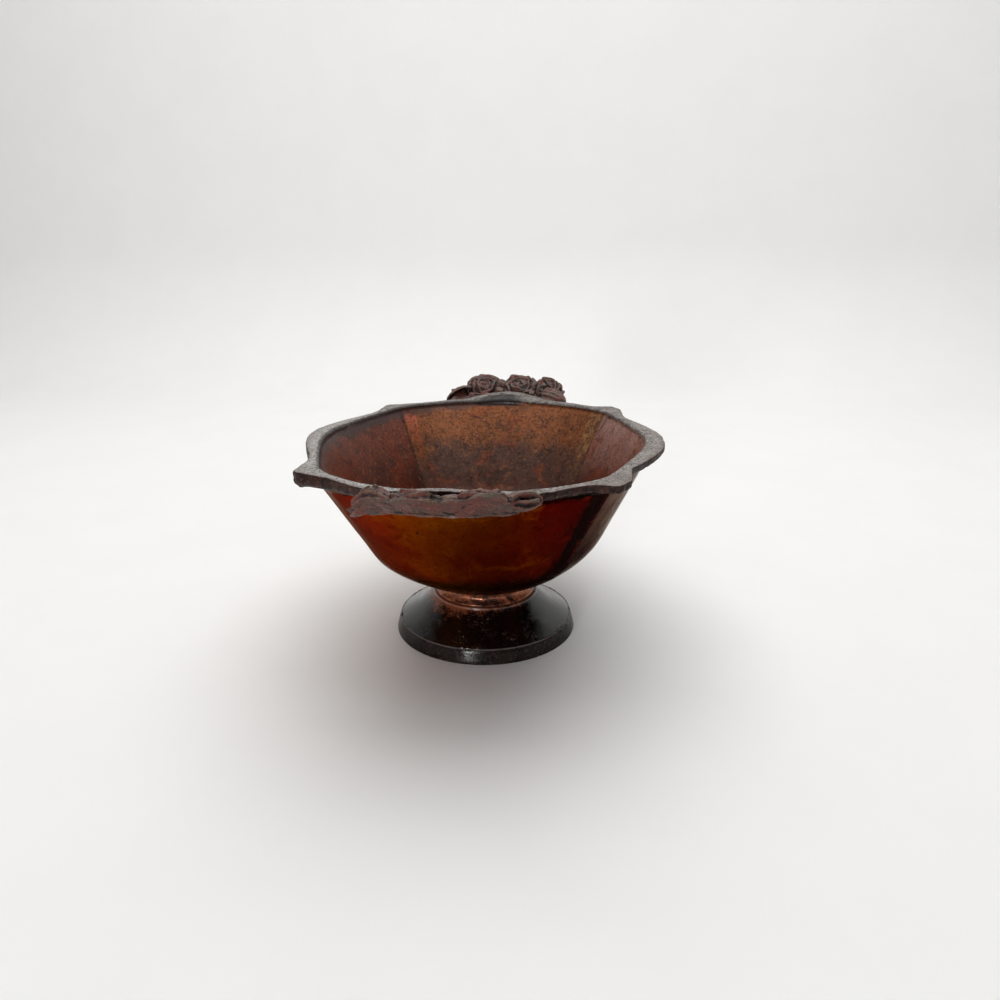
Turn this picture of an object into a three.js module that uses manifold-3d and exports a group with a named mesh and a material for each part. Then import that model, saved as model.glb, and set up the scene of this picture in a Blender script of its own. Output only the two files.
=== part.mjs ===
// Footed bowl with a six-sided rim and two garland handles, in millimetres, +Z up.
// The foot stands on z = 0 and the bowl's axis is the Z axis. The handles lie along Y.

import * as THREE from 'three';
import { mergeVertices } from 'three/addons/utils/BufferGeometryUtils.js';
import Module from 'manifold-3d';

const wasm = await Module();
wasm.setup();

// Clearance between two pieces that touch
const fitGap = 0.3;

// Foot: a hollow cone with an upright lip
const footRadius = 40;
const footHeight = 17.4;
const footTopRadius = 23.1;
const footLipHeight = 6.2;
const footLipDraft = 1.6;
const footLipStep = 0.5;
const footWall = 3.2;
const footTopPlate = 3;
const footTopEdge = 0.8;

// Neck collar between the foot and the bowl
const collarStep = 1.3;
const collarWaistRadius = 19.3;
const collarTopRadius = 20.7;

// Bowl wall: reaches are half sizes on the outer face, just under the rim
const seatRadius = 13.5;
const seatBossHeight = 1.2;
const wallHeight = 66.3;
const wallThickness = 3.2;
const sideReach = 69.9;
const endReach = 85.3;
const shoulderX = 53.6;
const shoulderY = 59.8;
const facetWidth = 9.9;
const facetTurn = 41;
const sideCornerRound = 12;
const sidePanelBulge = 1;
const squaring = 0.6;
// Section of the outer wall as shares of its half width and of its height
const wallShares = [
  [0.306, 0.08], [0.491, 0.186], [0.685, 0.351], [0.804, 0.578], [1, 1],
];

// Rim flange: its outline stands out from the wall's by these amounts
const lipHeight = 3.1;
const lipInset = 3;
const rimThickness = 3.3;
// The rim thickens towards the left front ear: by how much, at which angle and how narrowly
const rimSwell = 3.4;
const rimSwellSide = -140;
const rimSwellSharpness = 14;
const rimEdge = 0.6;
const rimRootDrop = 0.5;
const sideFlange = 4.9;
const tabFlange = 8.2;
const notchOut = 6.2;
const notchBack = 11.4;
const earOut = 5.8;
const earForward = 3.8;
const rightEarTip = { out: 1.6, forward: 11.6 };
const leftEarTip = { out: 3.8, forward: 6 };
const tabHollow = { out: -2.6, forward: 4.3 };
// Shares of the way out from a notch to the side corner, and of the way back to its middle
const sideBendShares = [[0.13, 0.85], [0.48, 0.61], [0.82, 0.34], [0.97, 0.15]];
const frontRightBendShares = [[0.27, 0.85], [0.62, 0.61], [0.91, 0.34], [0.99, 0.15]];
// Shares of the way across a tab and of its reach
const tabBendShares = [[0.75, 0.37], [0.44, 0.71]];
const tabRise = 3.2;
const tabInnerRise = 0.8;
const tabRiseStart = 78;

// Hidden fastening: a stud screwed up into the bowl, with a washer and a nut inside the foot
const studRadius = 3;
const studHoleDepth = 5.5;
const studEndProud = 2.6;
const floorOverStud = 2.3;
const washerRadius = 8;
const washerThickness = 1.2;
const nutAcrossFlats = 10;
const nutHeight = 5;

// Garland handles
const backGarland = { size: 1, spread: 1, tilt: 47 };
const frontGarland = { size: 0.78, spread: 1.27, tilt: 43 };
const garlandOverhang = 5.9;
const garlandSpineRadius = 55;
const garlandRootDrop = 2;
const garlandRootThickness = 2.8;
const garlandRootSpan = 25;
const garlandBackThickness = 2.6;
const garlandBackDepth = 8;
const petalThickness = 4.2;
// Shares of a blossom's, a bud's or a leaf's own size
const heartShare = { radius: 0.52, depth: 0.72 };
const petalShare = { length: 0.6, width: 0.52, depth: 0.55, offset: 0.48 };
const budShare = { length: 1.15, depth: 0.8 };
const bladeShare = { width: 0.31, depth: 0.4, offset: 0.2 };
const petalLean = 12;
const bladeFold = 24;
const blossoms = [
  { x: -14, along: 7.6, radius: 8.9, petals: 5, turn: 10 },
  { x: 5.2, along: 9.6, radius: 8.6, petals: 5, turn: 40 },
  { x: 18.8, along: 6.6, radius: 7.6, petals: 5, turn: 65 },
];
const buds = [
  { x: -4.6, along: 8.2, radius: 4.2 },
  { x: 12.9, along: 7.2, radius: 4 },
  { x: 25.4, along: 3.6, radius: 4.6 },
];
const leaves = [
  { x: -26.6, along: 3, length: 14, width: 9.4, turn: 26 },
  { x: 26, along: 1.6, length: 12, width: 8, turn: -26 },
];

// Stations along a quarter of the outline: side, ear flank, corner facet, end
const sideSteps = 7;
const flankSteps = 2;
const facetSteps = 2;
const endSteps = 7;
const wallLevels = 11;
const roundSegments = 64;
const smallSegments = 32;
const collarLevels = 6;
const rootSteps = 14;
const stemSteps = 12;
const ellipsoidSides = 8;
const ellipsoidLevels = 6;
const weldDistance = 1e-4;

const radians = THREE.MathUtils.degToRad;
const seatZ = footHeight + fitGap;
const rimHeight = wallHeight + lipHeight;
const rimZ = seatZ + rimHeight;
const floorHeight = studHoleDepth + floorOverStud;

const finishes = {
  bowl: { color: '#64260f', roughness: 0.3, metalness: 0.7 },
  collar: { color: '#6e4030', roughness: 0.45, metalness: 0.7 },
  foot: { color: '#151010', roughness: 0.25, metalness: 0.6 },
  garland: { color: '#4a3834', roughness: 0.5, metalness: 0.6 },
  steel: { color: '#8b8a86', roughness: 0.4, metalness: 0.9 },
};

function piece(name, geometry, finish) {
  const mesh = new THREE.Mesh(geometry, new THREE.MeshStandardMaterial(finishes[finish]));
  mesh.name = name;
  return mesh;
}

const wallSection = new THREE.SplineCurve([
  new THREE.Vector2(seatRadius, seatBossHeight),
  ...wallShares.map(([w, h]) => new THREE.Vector2(w * sideReach, h * wallHeight))]);

// Share of a curve, between two shares, where a measure that grows along it reaches a value
function shareWhere(measure, value, from = 0, to = 1) {
  let low = from;
  let high = to;
  for (let i = 0; i < 40; i++) {
    const middle = (low + high) / 2;
    if (measure(middle) < value) low = middle;
    else high = middle;
  }
  return low;
}

function wallHeightAt(radius) {
  const share = shareWhere((t) => wallSection.getPoint(t).x, radius);
  return wallSection.getPoint(share).y;
}

// Corner facet: it leaves the side panel at the shoulder and meets the end wall
const facetEndX = shoulderX - facetWidth * Math.sin(radians(facetTurn));
const facetEndY = shoulderY + facetWidth * Math.cos(radians(facetTurn));
const endArcCentre = (endReach ** 2 - facetEndX ** 2 - facetEndY ** 2) / (2 * (endReach - facetEndY));

function sideX(y) {
  const drop = (v) => Math.sqrt(v * v + sideCornerRound ** 2) - sideCornerRound;
  const slope = (sideReach - shoulderX) / drop(shoulderY);
  return sideReach - slope * drop(y) + sidePanelBulge * Math.sin(Math.PI * y / shoulderY);
}

function endPoint(share) {
  const radius = endReach - endArcCentre;
  const start = Math.atan2(facetEndY - endArcCentre, facetEndX);
  const angle = THREE.MathUtils.lerp(start, Math.PI / 2, share);
  return new THREE.Vector2(radius * Math.cos(angle), endArcCentre + radius * Math.sin(angle));
}

// The quarter outlines, each with the same stations so that the corners line up
function stations(side, flank, facet, end) {
  const points = [];
  for (let i = 0; i < sideSteps; i++) points.push(side(i / sideSteps));
  for (let i = 0; i < flankSteps; i++) points.push(flank(i / flankSteps));
  for (let i = 0; i < facetSteps; i++) points.push(facet(i / facetSteps));
  for (let i = 0; i <= endSteps; i++) points.push(end(i / endSteps));
  return points;
}

// Closes quarters into an outline: the front half is the back half's image but for its right quarter
function mirrored(right, left = right, frontRight = right) {
  const leftFlipped = left.slice(0, -1).reverse().map((p) => new THREE.Vector2(-p.x, p.y));
  const back = [...right, ...leftFlipped];
  const front = [...frontRight, ...leftFlipped].slice(1, -1).reverse();
  return [...back, ...front.map((p) => new THREE.Vector2(p.x, -p.y))];
}

const rimNotchX = shoulderX + notchOut;
const rimNotchY = shoulderY - notchBack;
const earX = shoulderX + earOut;
const earY = shoulderY + earForward;
const flankStartY = rimNotchY * shoulderY / earY;
const wallOutline = mirrored(stations(
  (t) => new THREE.Vector2(sideX(t * flankStartY), t * flankStartY),
  (t) => {
    const y = THREE.MathUtils.lerp(flankStartY, shoulderY, t);
    return new THREE.Vector2(sideX(y), y);
  },
  (t) => new THREE.Vector2(
    THREE.MathUtils.lerp(shoulderX, facetEndX, t), THREE.MathUtils.lerp(shoulderY, facetEndY, t)),
  endPoint));

// A smooth curve through points and their mirror images, so that its middle has no point
function evenCurve(points, flipX, flipY) {
  const images = points.slice(0, -1).reverse().map((p) => new THREE.Vector2(p.x * flipX, p.y * flipY));
  return new THREE.SplineCurve([...points, ...images]);
}

const rimSideReach = sideReach + sideFlange;
const sideBend = rimSideReach - rimNotchX;

function rimSideCurve(bendShares) {
  return evenCurve([
    new THREE.Vector2(rimNotchX, rimNotchY),
    ...bendShares.map(([out, back]) => (
      new THREE.Vector2(rimNotchX + sideBend * out, rimNotchY * back))),
    new THREE.Vector2(rimSideReach, 0)], 1, -1);
}

const tabReach = endReach + tabFlange;

function tabCurve(earTip) {
  const tip = new THREE.Vector2(shoulderX + earTip.out, shoulderY + earTip.forward);
  const hollow = new THREE.Vector2(facetEndX + tabHollow.out, facetEndY + tabHollow.forward);
  const rise = tabReach - hollow.y;
  return evenCurve([
    tip,
    hollow,
    ...tabBendShares.map(([across, out]) => (
      new THREE.Vector2(hollow.x * across, hollow.y + rise * out))),
    new THREE.Vector2(0, tabReach)], -1, 1);
}

function rimQuarter(earTip, bendShares = sideBendShares) {
  const side = rimSideCurve(bendShares);
  const tab = tabCurve(earTip);
  const tip = tab.getPoint(0);
  return stations(
    (t) => side.getPoint((1 - t) / 2),
    (t) => new THREE.Vector2(
      THREE.MathUtils.lerp(rimNotchX, earX, t), THREE.MathUtils.lerp(rimNotchY, earY, t)),
    (t) => new THREE.Vector2(
      THREE.MathUtils.lerp(earX, tip.x, t), THREE.MathUtils.lerp(earY, tip.y, t)),
    (t) => tab.getPoint(t / 2));
}

const rimOutline = mirrored(
  rimQuarter(rightEarTip), rimQuarter(leftEarTip), rimQuarter(rightEarTip, frontRightBendShares));

const around = wallOutline.length;
const stationAngles = wallOutline.map((p) => Math.atan2(p.y, p.x));

function inset(outline, distance) {
  return outline.map((p, i) => {
    const before = outline[(i + around - 1) % around];
    const after = outline[(i + 1) % around];
    const normal = new THREE.Vector2(after.y - before.y, before.x - after.x).normalize();
    return p.clone().addScaledVector(normal, -distance);
  });
}

function circleRing(radius, z) {
  return stationAngles.map((a) => new THREE.Vector3(radius * Math.cos(a), radius * Math.sin(a), z));
}

// The wall is round at the seat and takes the rim's outline as it rises
function wallRing(level, top) {
  return wallOutline.map((p, i) => {
    const { x: width, y: height } = wallSection.getPoint(level * top(i));
    const rise = (height - seatBossHeight) / (wallHeight - seatBossHeight);
    const square = THREE.MathUtils.clamp(rise, 0, 1) ** squaring;
    const a = stationAngles[i];
    const x = THREE.MathUtils.lerp(Math.cos(a), p.x / sideReach, square) * width;
    const y = THREE.MathUtils.lerp(Math.sin(a), p.y / sideReach, square) * width;
    return new THREE.Vector3(x, y, seatZ + height);
  });
}

// Share of the tab's rise at each station, from 0 at the ears to 1 in the middle of each end
const tabShare = stationAngles.map((a) => {
  const folded = Math.asin(Math.abs(Math.sin(a)));
  return THREE.MathUtils.smoothstep(folded, radians(tabRiseStart), Math.PI / 2);
});

function rimRing(outline, drop, rise) {
  return outline.map((p, i) => new THREE.Vector3(p.x, p.y, rimZ - drop(i) + rise * tabShare[i]));
}

// One closed skin: stud hole, seat, outer wall, flange, inner wall and floor
function bowlBody() {
  const swellAt = (a) => ((1 + Math.cos(a - radians(rimSwellSide))) / 2) ** rimSwellSharpness;
  const thickness = (i) => rimThickness + rimSwell * swellAt(stationAngles[i]);
  const underRim = stationAngles.map((a, i) => shareWhere(
    (t) => wallSection.getPoint(t).y, rimHeight - thickness(i) - rimRootDrop));
  const outer = [];
  const full = [];
  for (let level = 0; level < wallLevels; level++) {
    const share = level / (wallLevels - 1);
    outer.push(wallRing(share, (i) => underRim[i]));
    full.push(wallRing(share, () => 1));
  }
  const inner = insideOf(full);
  const lip = inset(wallOutline, lipInset);
  const holeRadius = studRadius + fitGap;
  const rings = [
    circleRing(holeRadius, seatZ + studHoleDepth),
    circleRing(holeRadius, seatZ),
    circleRing(seatRadius, seatZ),
    ...outer,
    rimRing(inset(rimOutline, rimEdge), thickness, 0),
    rimRing(rimOutline, (i) => thickness(i) - rimEdge, 0),
    rimRing(rimOutline, () => rimEdge, tabRise),
    rimRing(inset(rimOutline, rimEdge), () => 0, tabRise),
    rimRing(inset(lip, -rimEdge), () => 0, tabInnerRise),
    rimRing(lip, () => rimEdge, tabInnerRise),
    ...inner.reverse(),
  ];
  return skin(rings, seatZ + studHoleDepth, seatZ + floorHeight);
}

function insideOf(rings) {
  return rings.map((ring, level) => ring.map((p, i) => {
    const up = rings[Math.min(level + 1, rings.length - 1)][i];
    const down = rings[Math.max(level - 1, 0)][i];
    const next = ring[(i + 1) % around];
    const last = ring[(i + around - 1) % around];
    const normal = next.clone().sub(last).cross(up.clone().sub(down)).normalize();
    const point = p.clone().addScaledVector(normal, -wallThickness);
    point.z = Math.max(point.z, seatZ + floorHeight);
    return point;
  }));
}

// Joins rings of the same length into a closed skin with a point at each end
function skin(rings, firstZ, lastZ) {
  const positions = [0, 0, firstZ];
  for (const ring of rings) for (const p of ring) positions.push(p.x, p.y, p.z);
  positions.push(0, 0, lastZ);
  const last = rings.length * around + 1;
  const index = [];
  for (let i = 0; i < around; i++) {
    const j = (i + 1) % around;
    index.push(0, 1 + j, 1 + i);
    for (let r = 0; r < rings.length - 1; r++) {
      const a = 1 + r * around;
      const b = a + around;
      index.push(a + i, b + j, b + i, a + i, a + j, b + j);
    }
    const top = last - around;
    index.push(top + i, top + j, last);
  }
  const geometry = new THREE.BufferGeometry();
  geometry.setAttribute('position', new THREE.Float32BufferAttribute(positions, 3));
  geometry.setIndex(index);
  return geometry;
}

function foot() {
  const lipTop = footRadius - footLipDraft;
  const coneBottom = lipTop - footLipStep;
  const plateZ = footHeight - footTopPlate;
  const hole = studRadius + fitGap;
  const profile = [
    [footRadius - footWall, 0], [footRadius, 0], [lipTop, footLipHeight],
    [coneBottom, footLipHeight + footLipStep], [footTopRadius, footHeight - footTopEdge],
    [footTopRadius, footHeight], [hole, footHeight], [hole, plateZ],
    [footTopRadius - footWall, plateZ], [coneBottom - footWall, footLipHeight - footWall / 2],
    [footRadius - footWall, 0],
  ];
  return lathe(profile);
}

function lathe(profile, segments = roundSegments) {
  const points = profile.map(([r, z]) => new THREE.Vector2(r, z));
  const geometry = new THREE.LatheGeometry(points, segments);
  geometry.rotateX(Math.PI / 2);
  return geometry;
}

// Ring with a hollow outer face; its top follows the bowl's underside
function neckCollar() {
  const bottom = seatZ;
  const bottomRadius = footTopRadius - collarStep;
  const inside = seatRadius + fitGap;
  const under = (radius) => seatZ + wallHeightAt(radius) - 2 * fitGap;
  const top = under(collarTopRadius);
  const face = new THREE.QuadraticBezierCurve(
    new THREE.Vector2(bottomRadius, bottom),
    new THREE.Vector2(2 * collarWaistRadius - (bottomRadius + collarTopRadius) / 2,
      (bottom + top) / 2),
    new THREE.Vector2(collarTopRadius, top));
  const profile = face.getPoints(collarLevels).map((p) => [p.x, p.y]);
  const middle = (inside + collarTopRadius) / 2;
  profile.push([middle, under(middle)], [inside, under(inside)], [inside, bottom],
    [bottomRadius, bottom]);
  return lathe(profile);
}

function threadedStud() {
  const top = seatZ + studHoleDepth - fitGap;
  const nutBottom = footHeight - footTopPlate - 2 * fitGap - washerThickness - nutHeight;
  const length = top - nutBottom + studEndProud;
  const geometry = new THREE.CylinderGeometry(studRadius, studRadius, length, smallSegments);
  geometry.rotateX(Math.PI / 2);
  geometry.translate(0, 0, top - length / 2);
  return geometry;
}

function washer() {
  const top = footHeight - footTopPlate - fitGap;
  const hole = studRadius + fitGap;
  return lathe([[washerRadius, top - washerThickness], [washerRadius, top], [hole, top],
    [hole, top - washerThickness], [washerRadius, top - washerThickness]], smallSegments);
}

function nut() {
  const corner = nutAcrossFlats / 2 / Math.cos(Math.PI / 6);
  const shape = new THREE.Shape();
  for (let i = 0; i < 6; i++) {
    const a = i * Math.PI / 3;
    if (i === 0) shape.moveTo(corner, 0);
    else shape.lineTo(corner * Math.cos(a), corner * Math.sin(a));
  }
  shape.closePath();
  const hole = new THREE.Path();
  hole.absarc(0, 0, studRadius + fitGap, 0, 2 * Math.PI, true);
  shape.holes.push(hole);
  const geometry = new THREE.ExtrudeGeometry(shape, { depth: nutHeight, bevelEnabled: false,
    curveSegments: smallSegments });
  geometry.translate(0, 0, footHeight - footTopPlate - 2 * fitGap - washerThickness - nutHeight);
  return geometry;
}

function solidOf(geometry) {
  const plain = geometry.clone();
  plain.deleteAttribute('normal');
  plain.deleteAttribute('uv');
  const merged = mergeVertices(plain, weldDistance);
  return new wasm.Manifold(new wasm.Mesh({
    numProp: 3,
    vertProperties: new Float32Array(merged.attributes.position.array),
    triVerts: new Uint32Array(merged.index.array),
  }));
}

function geometryOf(solid) {
  const mesh = solid.getMesh();
  const geometry = new THREE.BufferGeometry();
  geometry.setAttribute('position', new THREE.BufferAttribute(mesh.vertProperties, 3));
  geometry.setIndex(new THREE.BufferAttribute(mesh.triVerts, 1));
  return geometry;
}

// Frame on a garland's spine: x runs along it, y climbs its slope and z faces the bowl
function spineFrame({ size, spread, tilt }, x, along) {
  const turn = x * size * spread / garlandSpineRadius;
  const outward = new THREE.Vector3(Math.sin(turn), Math.cos(turn), 0);
  const tangent = new THREE.Vector3(Math.cos(turn), -Math.sin(turn), 0);
  const slope = outward.clone().multiplyScalar(Math.cos(radians(tilt)));
  slope.z = Math.sin(radians(tilt));
  const face = tangent.clone().cross(slope);
  const centre = new THREE.Vector3(0, tabReach + garlandOverhang - garlandSpineRadius, 0);
  const origin = centre.addScaledVector(outward, garlandSpineRadius);
  origin.z = rimZ - garlandRootDrop;
  origin.addScaledVector(slope, along * size);
  const frame = new THREE.Matrix4().makeBasis(tangent, slope, face);
  return frame.scale(new THREE.Vector3(size, size, size)).setPosition(origin);
}

function ellipsoid(rx, ry, rz) {
  const ball = new THREE.SphereGeometry(1, ellipsoidSides, ellipsoidLevels);
  return ball.rotateX(Math.PI / 2).scale(rx, ry, rz);
}

// A blossom: a ring of overlapping petals round a raised heart
function blossom(cast, { x, along, radius, petals, turn }) {
  const frame = spineFrame(cast, x, along);
  const heartRadius = radius * heartShare.radius;
  const heart = ellipsoid(heartRadius, heartRadius, petalThickness * heartShare.depth);
  let solid = solidOf(heart.applyMatrix4(frame));
  for (let i = 0; i < petals; i++) {
    const a = radians(turn) + i * 2 * Math.PI / petals;
    const petal = ellipsoid(radius * petalShare.length, radius * petalShare.width,
      petalThickness * petalShare.depth);
    petal.rotateX(radians(petalLean)).rotateZ(a + Math.PI / 2);
    const offset = radius * petalShare.offset;
    petal.translate(offset * Math.cos(a), offset * Math.sin(a), 0);
    solid = solid.add(solidOf(petal.applyMatrix4(frame)));
  }
  return solid;
}

function bud(cast, { x, along, radius }) {
  const shape = ellipsoid(radius, radius * budShare.length, radius * budShare.depth);
  return solidOf(shape.applyMatrix4(spineFrame(cast, x, along)));
}

// A folded leaf: two half blades that meet along a raised vein
function leaf(cast, { x, along, length, width, turn }) {
  const frame = spineFrame(cast, x, along);
  let solid = null;
  for (const side of [-1, 1]) {
    const blade = ellipsoid(length / 2, width * bladeShare.width,
      petalThickness * bladeShare.depth);
    blade.rotateX(side * radians(bladeFold)).translate(0, side * width * bladeShare.offset, 0);
    blade.rotateZ(radians(turn));
    const part = solidOf(blade.applyMatrix4(frame));
    solid = solid ? solid.add(part) : part;
  }
  return solid;
}

// Root plate from the tab's edge out to the spine
function garlandRoot(cast) {
  const reach = cast.size * cast.spread;
  const span = garlandRootSpan * reach;
  const outside = [];
  const inside = [];
  for (let i = 0; i <= rootSteps; i++) {
    const x = THREE.MathUtils.lerp(-span, span, i / rootSteps);
    inside.push(new THREE.Vector2(x, tabEdgeAt(x) + fitGap));
    const p = new THREE.Vector3().setFromMatrixPosition(spineFrame(cast, x / reach, 0));
    outside.push(new THREE.Vector2(p.x, p.y + garlandBackThickness / 2));
  }
  const shape = new THREE.Shape([...inside, ...outside.reverse()]);
  const geometry = new THREE.ExtrudeGeometry(shape, { depth: garlandRootThickness,
    bevelEnabled: false });
  geometry.translate(0, 0, rimZ - garlandRootDrop - garlandRootThickness / 2);
  return solidOf(geometry);
}

function tabEdgeAt(x) {
  const edge = tabCurve(rightEarTip);
  const share = shareWhere((t) => -edge.getPoint(t).x, -Math.abs(x), 0, 0.5);
  return edge.getPoint(share).y;
}

// Stem band that climbs behind the blossoms, swept along the spine
function garlandStem(cast) {
  const half = garlandBackThickness / 2;
  const corners = [[-half, -half], [garlandBackDepth, -half], [garlandBackDepth, half], [-half, half]];
  const box = new THREE.BoxGeometry(2 * garlandRootSpan, 1, 1, stemSteps, 1, 1);
  const position = box.attributes.position;
  for (let i = 0; i < position.count; i++) {
    const [along, face] = corners.find(([a, f]) => (a > 0) === (position.getY(i) > 0)
      && (f > 0) === (position.getZ(i) > 0));
    const frame = spineFrame(cast, position.getX(i), along);
    const p = new THREE.Vector3(0, 0, face).applyMatrix4(frame);
    position.setXYZ(i, p.x, p.y, p.z);
  }
  return solidOf(box);
}

function garland(cast) {
  let solid = garlandRoot(cast).add(garlandStem(cast));
  for (const item of blossoms) solid = solid.add(blossom(cast, item));
  for (const item of buds) solid = solid.add(bud(cast, item));
  for (const item of leaves) solid = solid.add(leaf(cast, item));
  return geometryOf(solid);
}

const bowl = new THREE.Group();
bowl.add(piece('bowl_body', bowlBody(), 'bowl'));
bowl.add(piece('neck_collar', neckCollar(), 'collar'));
bowl.add(piece('foot', foot(), 'foot'));
const backHandle = piece('handle_back', garland(backGarland), 'garland');
const frontHandle = piece('handle_front', garland(frontGarland), 'garland');
frontHandle.rotation.z = Math.PI;
bowl.add(backHandle, frontHandle);
bowl.add(piece('threaded_stud', threadedStud(), 'steel'));
bowl.add(piece('washer', washer(), 'steel'));
bowl.add(piece('nut', nut(), 'steel'));

export default bowl;
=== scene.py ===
# Looks of the footed bowl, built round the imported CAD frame
import math
import random

import bmesh
import bpy
import numpy as np
from mathutils import Matrix, Vector, noise


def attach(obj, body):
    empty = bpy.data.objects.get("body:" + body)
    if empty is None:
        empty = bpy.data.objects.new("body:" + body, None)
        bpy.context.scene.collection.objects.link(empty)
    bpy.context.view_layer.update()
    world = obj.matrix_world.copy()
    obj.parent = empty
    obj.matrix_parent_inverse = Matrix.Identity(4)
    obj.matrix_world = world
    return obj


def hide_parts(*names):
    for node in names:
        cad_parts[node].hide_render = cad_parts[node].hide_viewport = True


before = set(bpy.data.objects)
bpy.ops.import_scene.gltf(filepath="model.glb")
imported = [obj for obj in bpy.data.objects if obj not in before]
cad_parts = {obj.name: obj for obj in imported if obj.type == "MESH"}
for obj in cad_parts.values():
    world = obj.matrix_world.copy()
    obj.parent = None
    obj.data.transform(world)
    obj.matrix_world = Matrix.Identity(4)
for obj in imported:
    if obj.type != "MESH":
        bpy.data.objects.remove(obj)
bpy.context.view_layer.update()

MM = 0.001

# Sizes repeated from the CAD source, in millimetres
FIT_GAP = 0.3
FOOT_RADIUS = 40
FOOT_HEIGHT = 17.4
FOOT_TOP_RADIUS = 23.1
FOOT_LIP_HEIGHT = 6.2
FOOT_LIP_DRAFT = 1.6
FOOT_LIP_STEP = 0.5
FOOT_WALL = 3.2
FOOT_TOP_PLATE = 3
COLLAR_STEP = 1.3
COLLAR_WAIST_RADIUS = 19.3
COLLAR_TOP_RADIUS = 20.7
SEAT_RADIUS = 13.5
SEAT_BOSS_HEIGHT = 1.2
WALL_HEIGHT = 66.3
WALL_THICKNESS = 3.2
SIDE_REACH = 69.9
END_REACH = 85.3
SHOULDER_X = 53.6
SHOULDER_Y = 59.8
FACET_WIDTH = 9.9
FACET_TURN = math.radians(41)
SIDE_CORNER_ROUND = 12
SIDE_PANEL_BULGE = 1
SQUARING = 0.6
WALL_SHARES = ((0.306, 0.08), (0.491, 0.186), (0.685, 0.351), (0.804, 0.578), (1, 1))
SIDE_BEND_SHARES = ((0.13, 0.85), (0.48, 0.61), (0.82, 0.34), (0.97, 0.15))
FRONT_RIGHT_BEND_SHARES = ((0.27, 0.85), (0.62, 0.61), (0.91, 0.34), (0.99, 0.15))
TAB_BEND_SHARES = ((0.75, 0.37), (0.44, 0.71))
LIP_HEIGHT = 3.1
LIP_INSET = 3
RIM_THICKNESS = 3.3
RIM_SWELL = 3.4
RIM_SWELL_SIDE = math.radians(-140)
RIM_SWELL_SHARPNESS = 14
RIM_ROOT_DROP = 0.5
SIDE_FLANGE = 4.9
TAB_FLANGE = 8.2
NOTCH_OUT = 6.2
NOTCH_BACK = 11.4
EAR_OUT = 5.8
EAR_FORWARD = 3.8
RIGHT_EAR_TIP = (1.6, 11.6)
LEFT_EAR_TIP = (3.8, 6)
TAB_HOLLOW = (-2.6, 4.3)
TAB_RISE = 3.2
TAB_INNER_RISE = 0.8
TAB_RISE_START = math.radians(78)
STUD_RADIUS = 3
STUD_HOLE_DEPTH = 5.5
FLOOR_OVER_STUD = 2.3
GARLAND_OVERHANG = 5.9
GARLAND_SPINE_RADIUS = 55
GARLAND_ROOT_DROP = 2
GARLAND_ROOT_THICKNESS = 2.8
GARLAND_ROOT_SPAN = 25
# Size, spread along the spine and tilt of each garland
BACK_GARLAND = (1, 1, math.radians(47))
FRONT_GARLAND = (0.78, 1.27, math.radians(43))
SEAT_Z = FOOT_HEIGHT + FIT_GAP
RIM_HEIGHT = WALL_HEIGHT + LIP_HEIGHT
RIM_Z = SEAT_Z + RIM_HEIGHT
FLOOR_Z = SEAT_Z + STUD_HOLE_DEPTH + FLOOR_OVER_STUD
TAB_REACH = END_REACH + TAB_FLANGE


# Curves and outlines
def spline(points):
    """The same even curve through points as the CAD source draws, for an array of shares."""
    points = np.array(points, float)

    def at(share):
        place = np.clip(np.atleast_1d(share), 0, 1) * (len(points) - 1)
        i = np.minimum(place.astype(int), len(points) - 2)
        t = (place - i)[:, None]
        p0, p1 = points[np.maximum(i - 1, 0)], points[i]
        p2, p3 = points[i + 1], points[np.minimum(i + 2, len(points) - 1)]
        v0, v1 = (p2 - p0) / 2, (p3 - p1) / 2
        return ((2 * p1 - 2 * p2 + v0 + v1) * t ** 3
                + (3 * p2 - 3 * p1 - 2 * v0 - v1) * t ** 2 + v0 * t + p1)

    return at


def even_curve(points, flip):
    """A curve through points and on through their images, so that it is even about the last one."""
    images = [(x * flip[0], y * flip[1]) for x, y in points[-2::-1]]
    return spline(list(points) + images)


WALL_SECTION = spline([(SEAT_RADIUS, SEAT_BOSS_HEIGHT)]
                      + [(w * SIDE_REACH, h * WALL_HEIGHT) for w, h in WALL_SHARES])
FACET_END = (SHOULDER_X - FACET_WIDTH * math.sin(FACET_TURN),
             SHOULDER_Y + FACET_WIDTH * math.cos(FACET_TURN))
END_CENTRE = ((END_REACH ** 2 - FACET_END[0] ** 2 - FACET_END[1] ** 2)
              / (2 * (END_REACH - FACET_END[1])))
NOTCH = (SHOULDER_X + NOTCH_OUT, SHOULDER_Y - NOTCH_BACK)
EAR = (SHOULDER_X + EAR_OUT, SHOULDER_Y + EAR_FORWARD)
FLANK_START = NOTCH[1] * SHOULDER_Y / EAR[1]
RIM_SIDE_REACH = SIDE_REACH + SIDE_FLANGE
SIDE_BEND = RIM_SIDE_REACH - NOTCH[0]


def side_x(y):
    def drop(v):
        return np.sqrt(v * v + SIDE_CORNER_ROUND ** 2) - SIDE_CORNER_ROUND

    slope = (SIDE_REACH - SHOULDER_X) / drop(SHOULDER_Y)
    return SIDE_REACH - slope * drop(y) + SIDE_PANEL_BULGE * np.sin(np.pi * y / SHOULDER_Y)


def line(a, b, t):
    return np.array(a) * (1 - t[:, None]) + np.array(b) * t[:, None]


# Stations along a quarter of the outline: side, ear flank, corner facet, end
STEPS = (56, 16, 16, 56)


def quarter(side, flank, facet, end):
    shares = [np.arange(n) / n for n in STEPS]
    shares[3] = np.arange(STEPS[3] + 1) / STEPS[3]
    return np.vstack([f(t) for f, t in zip((side, flank, facet, end), shares)])


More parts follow.
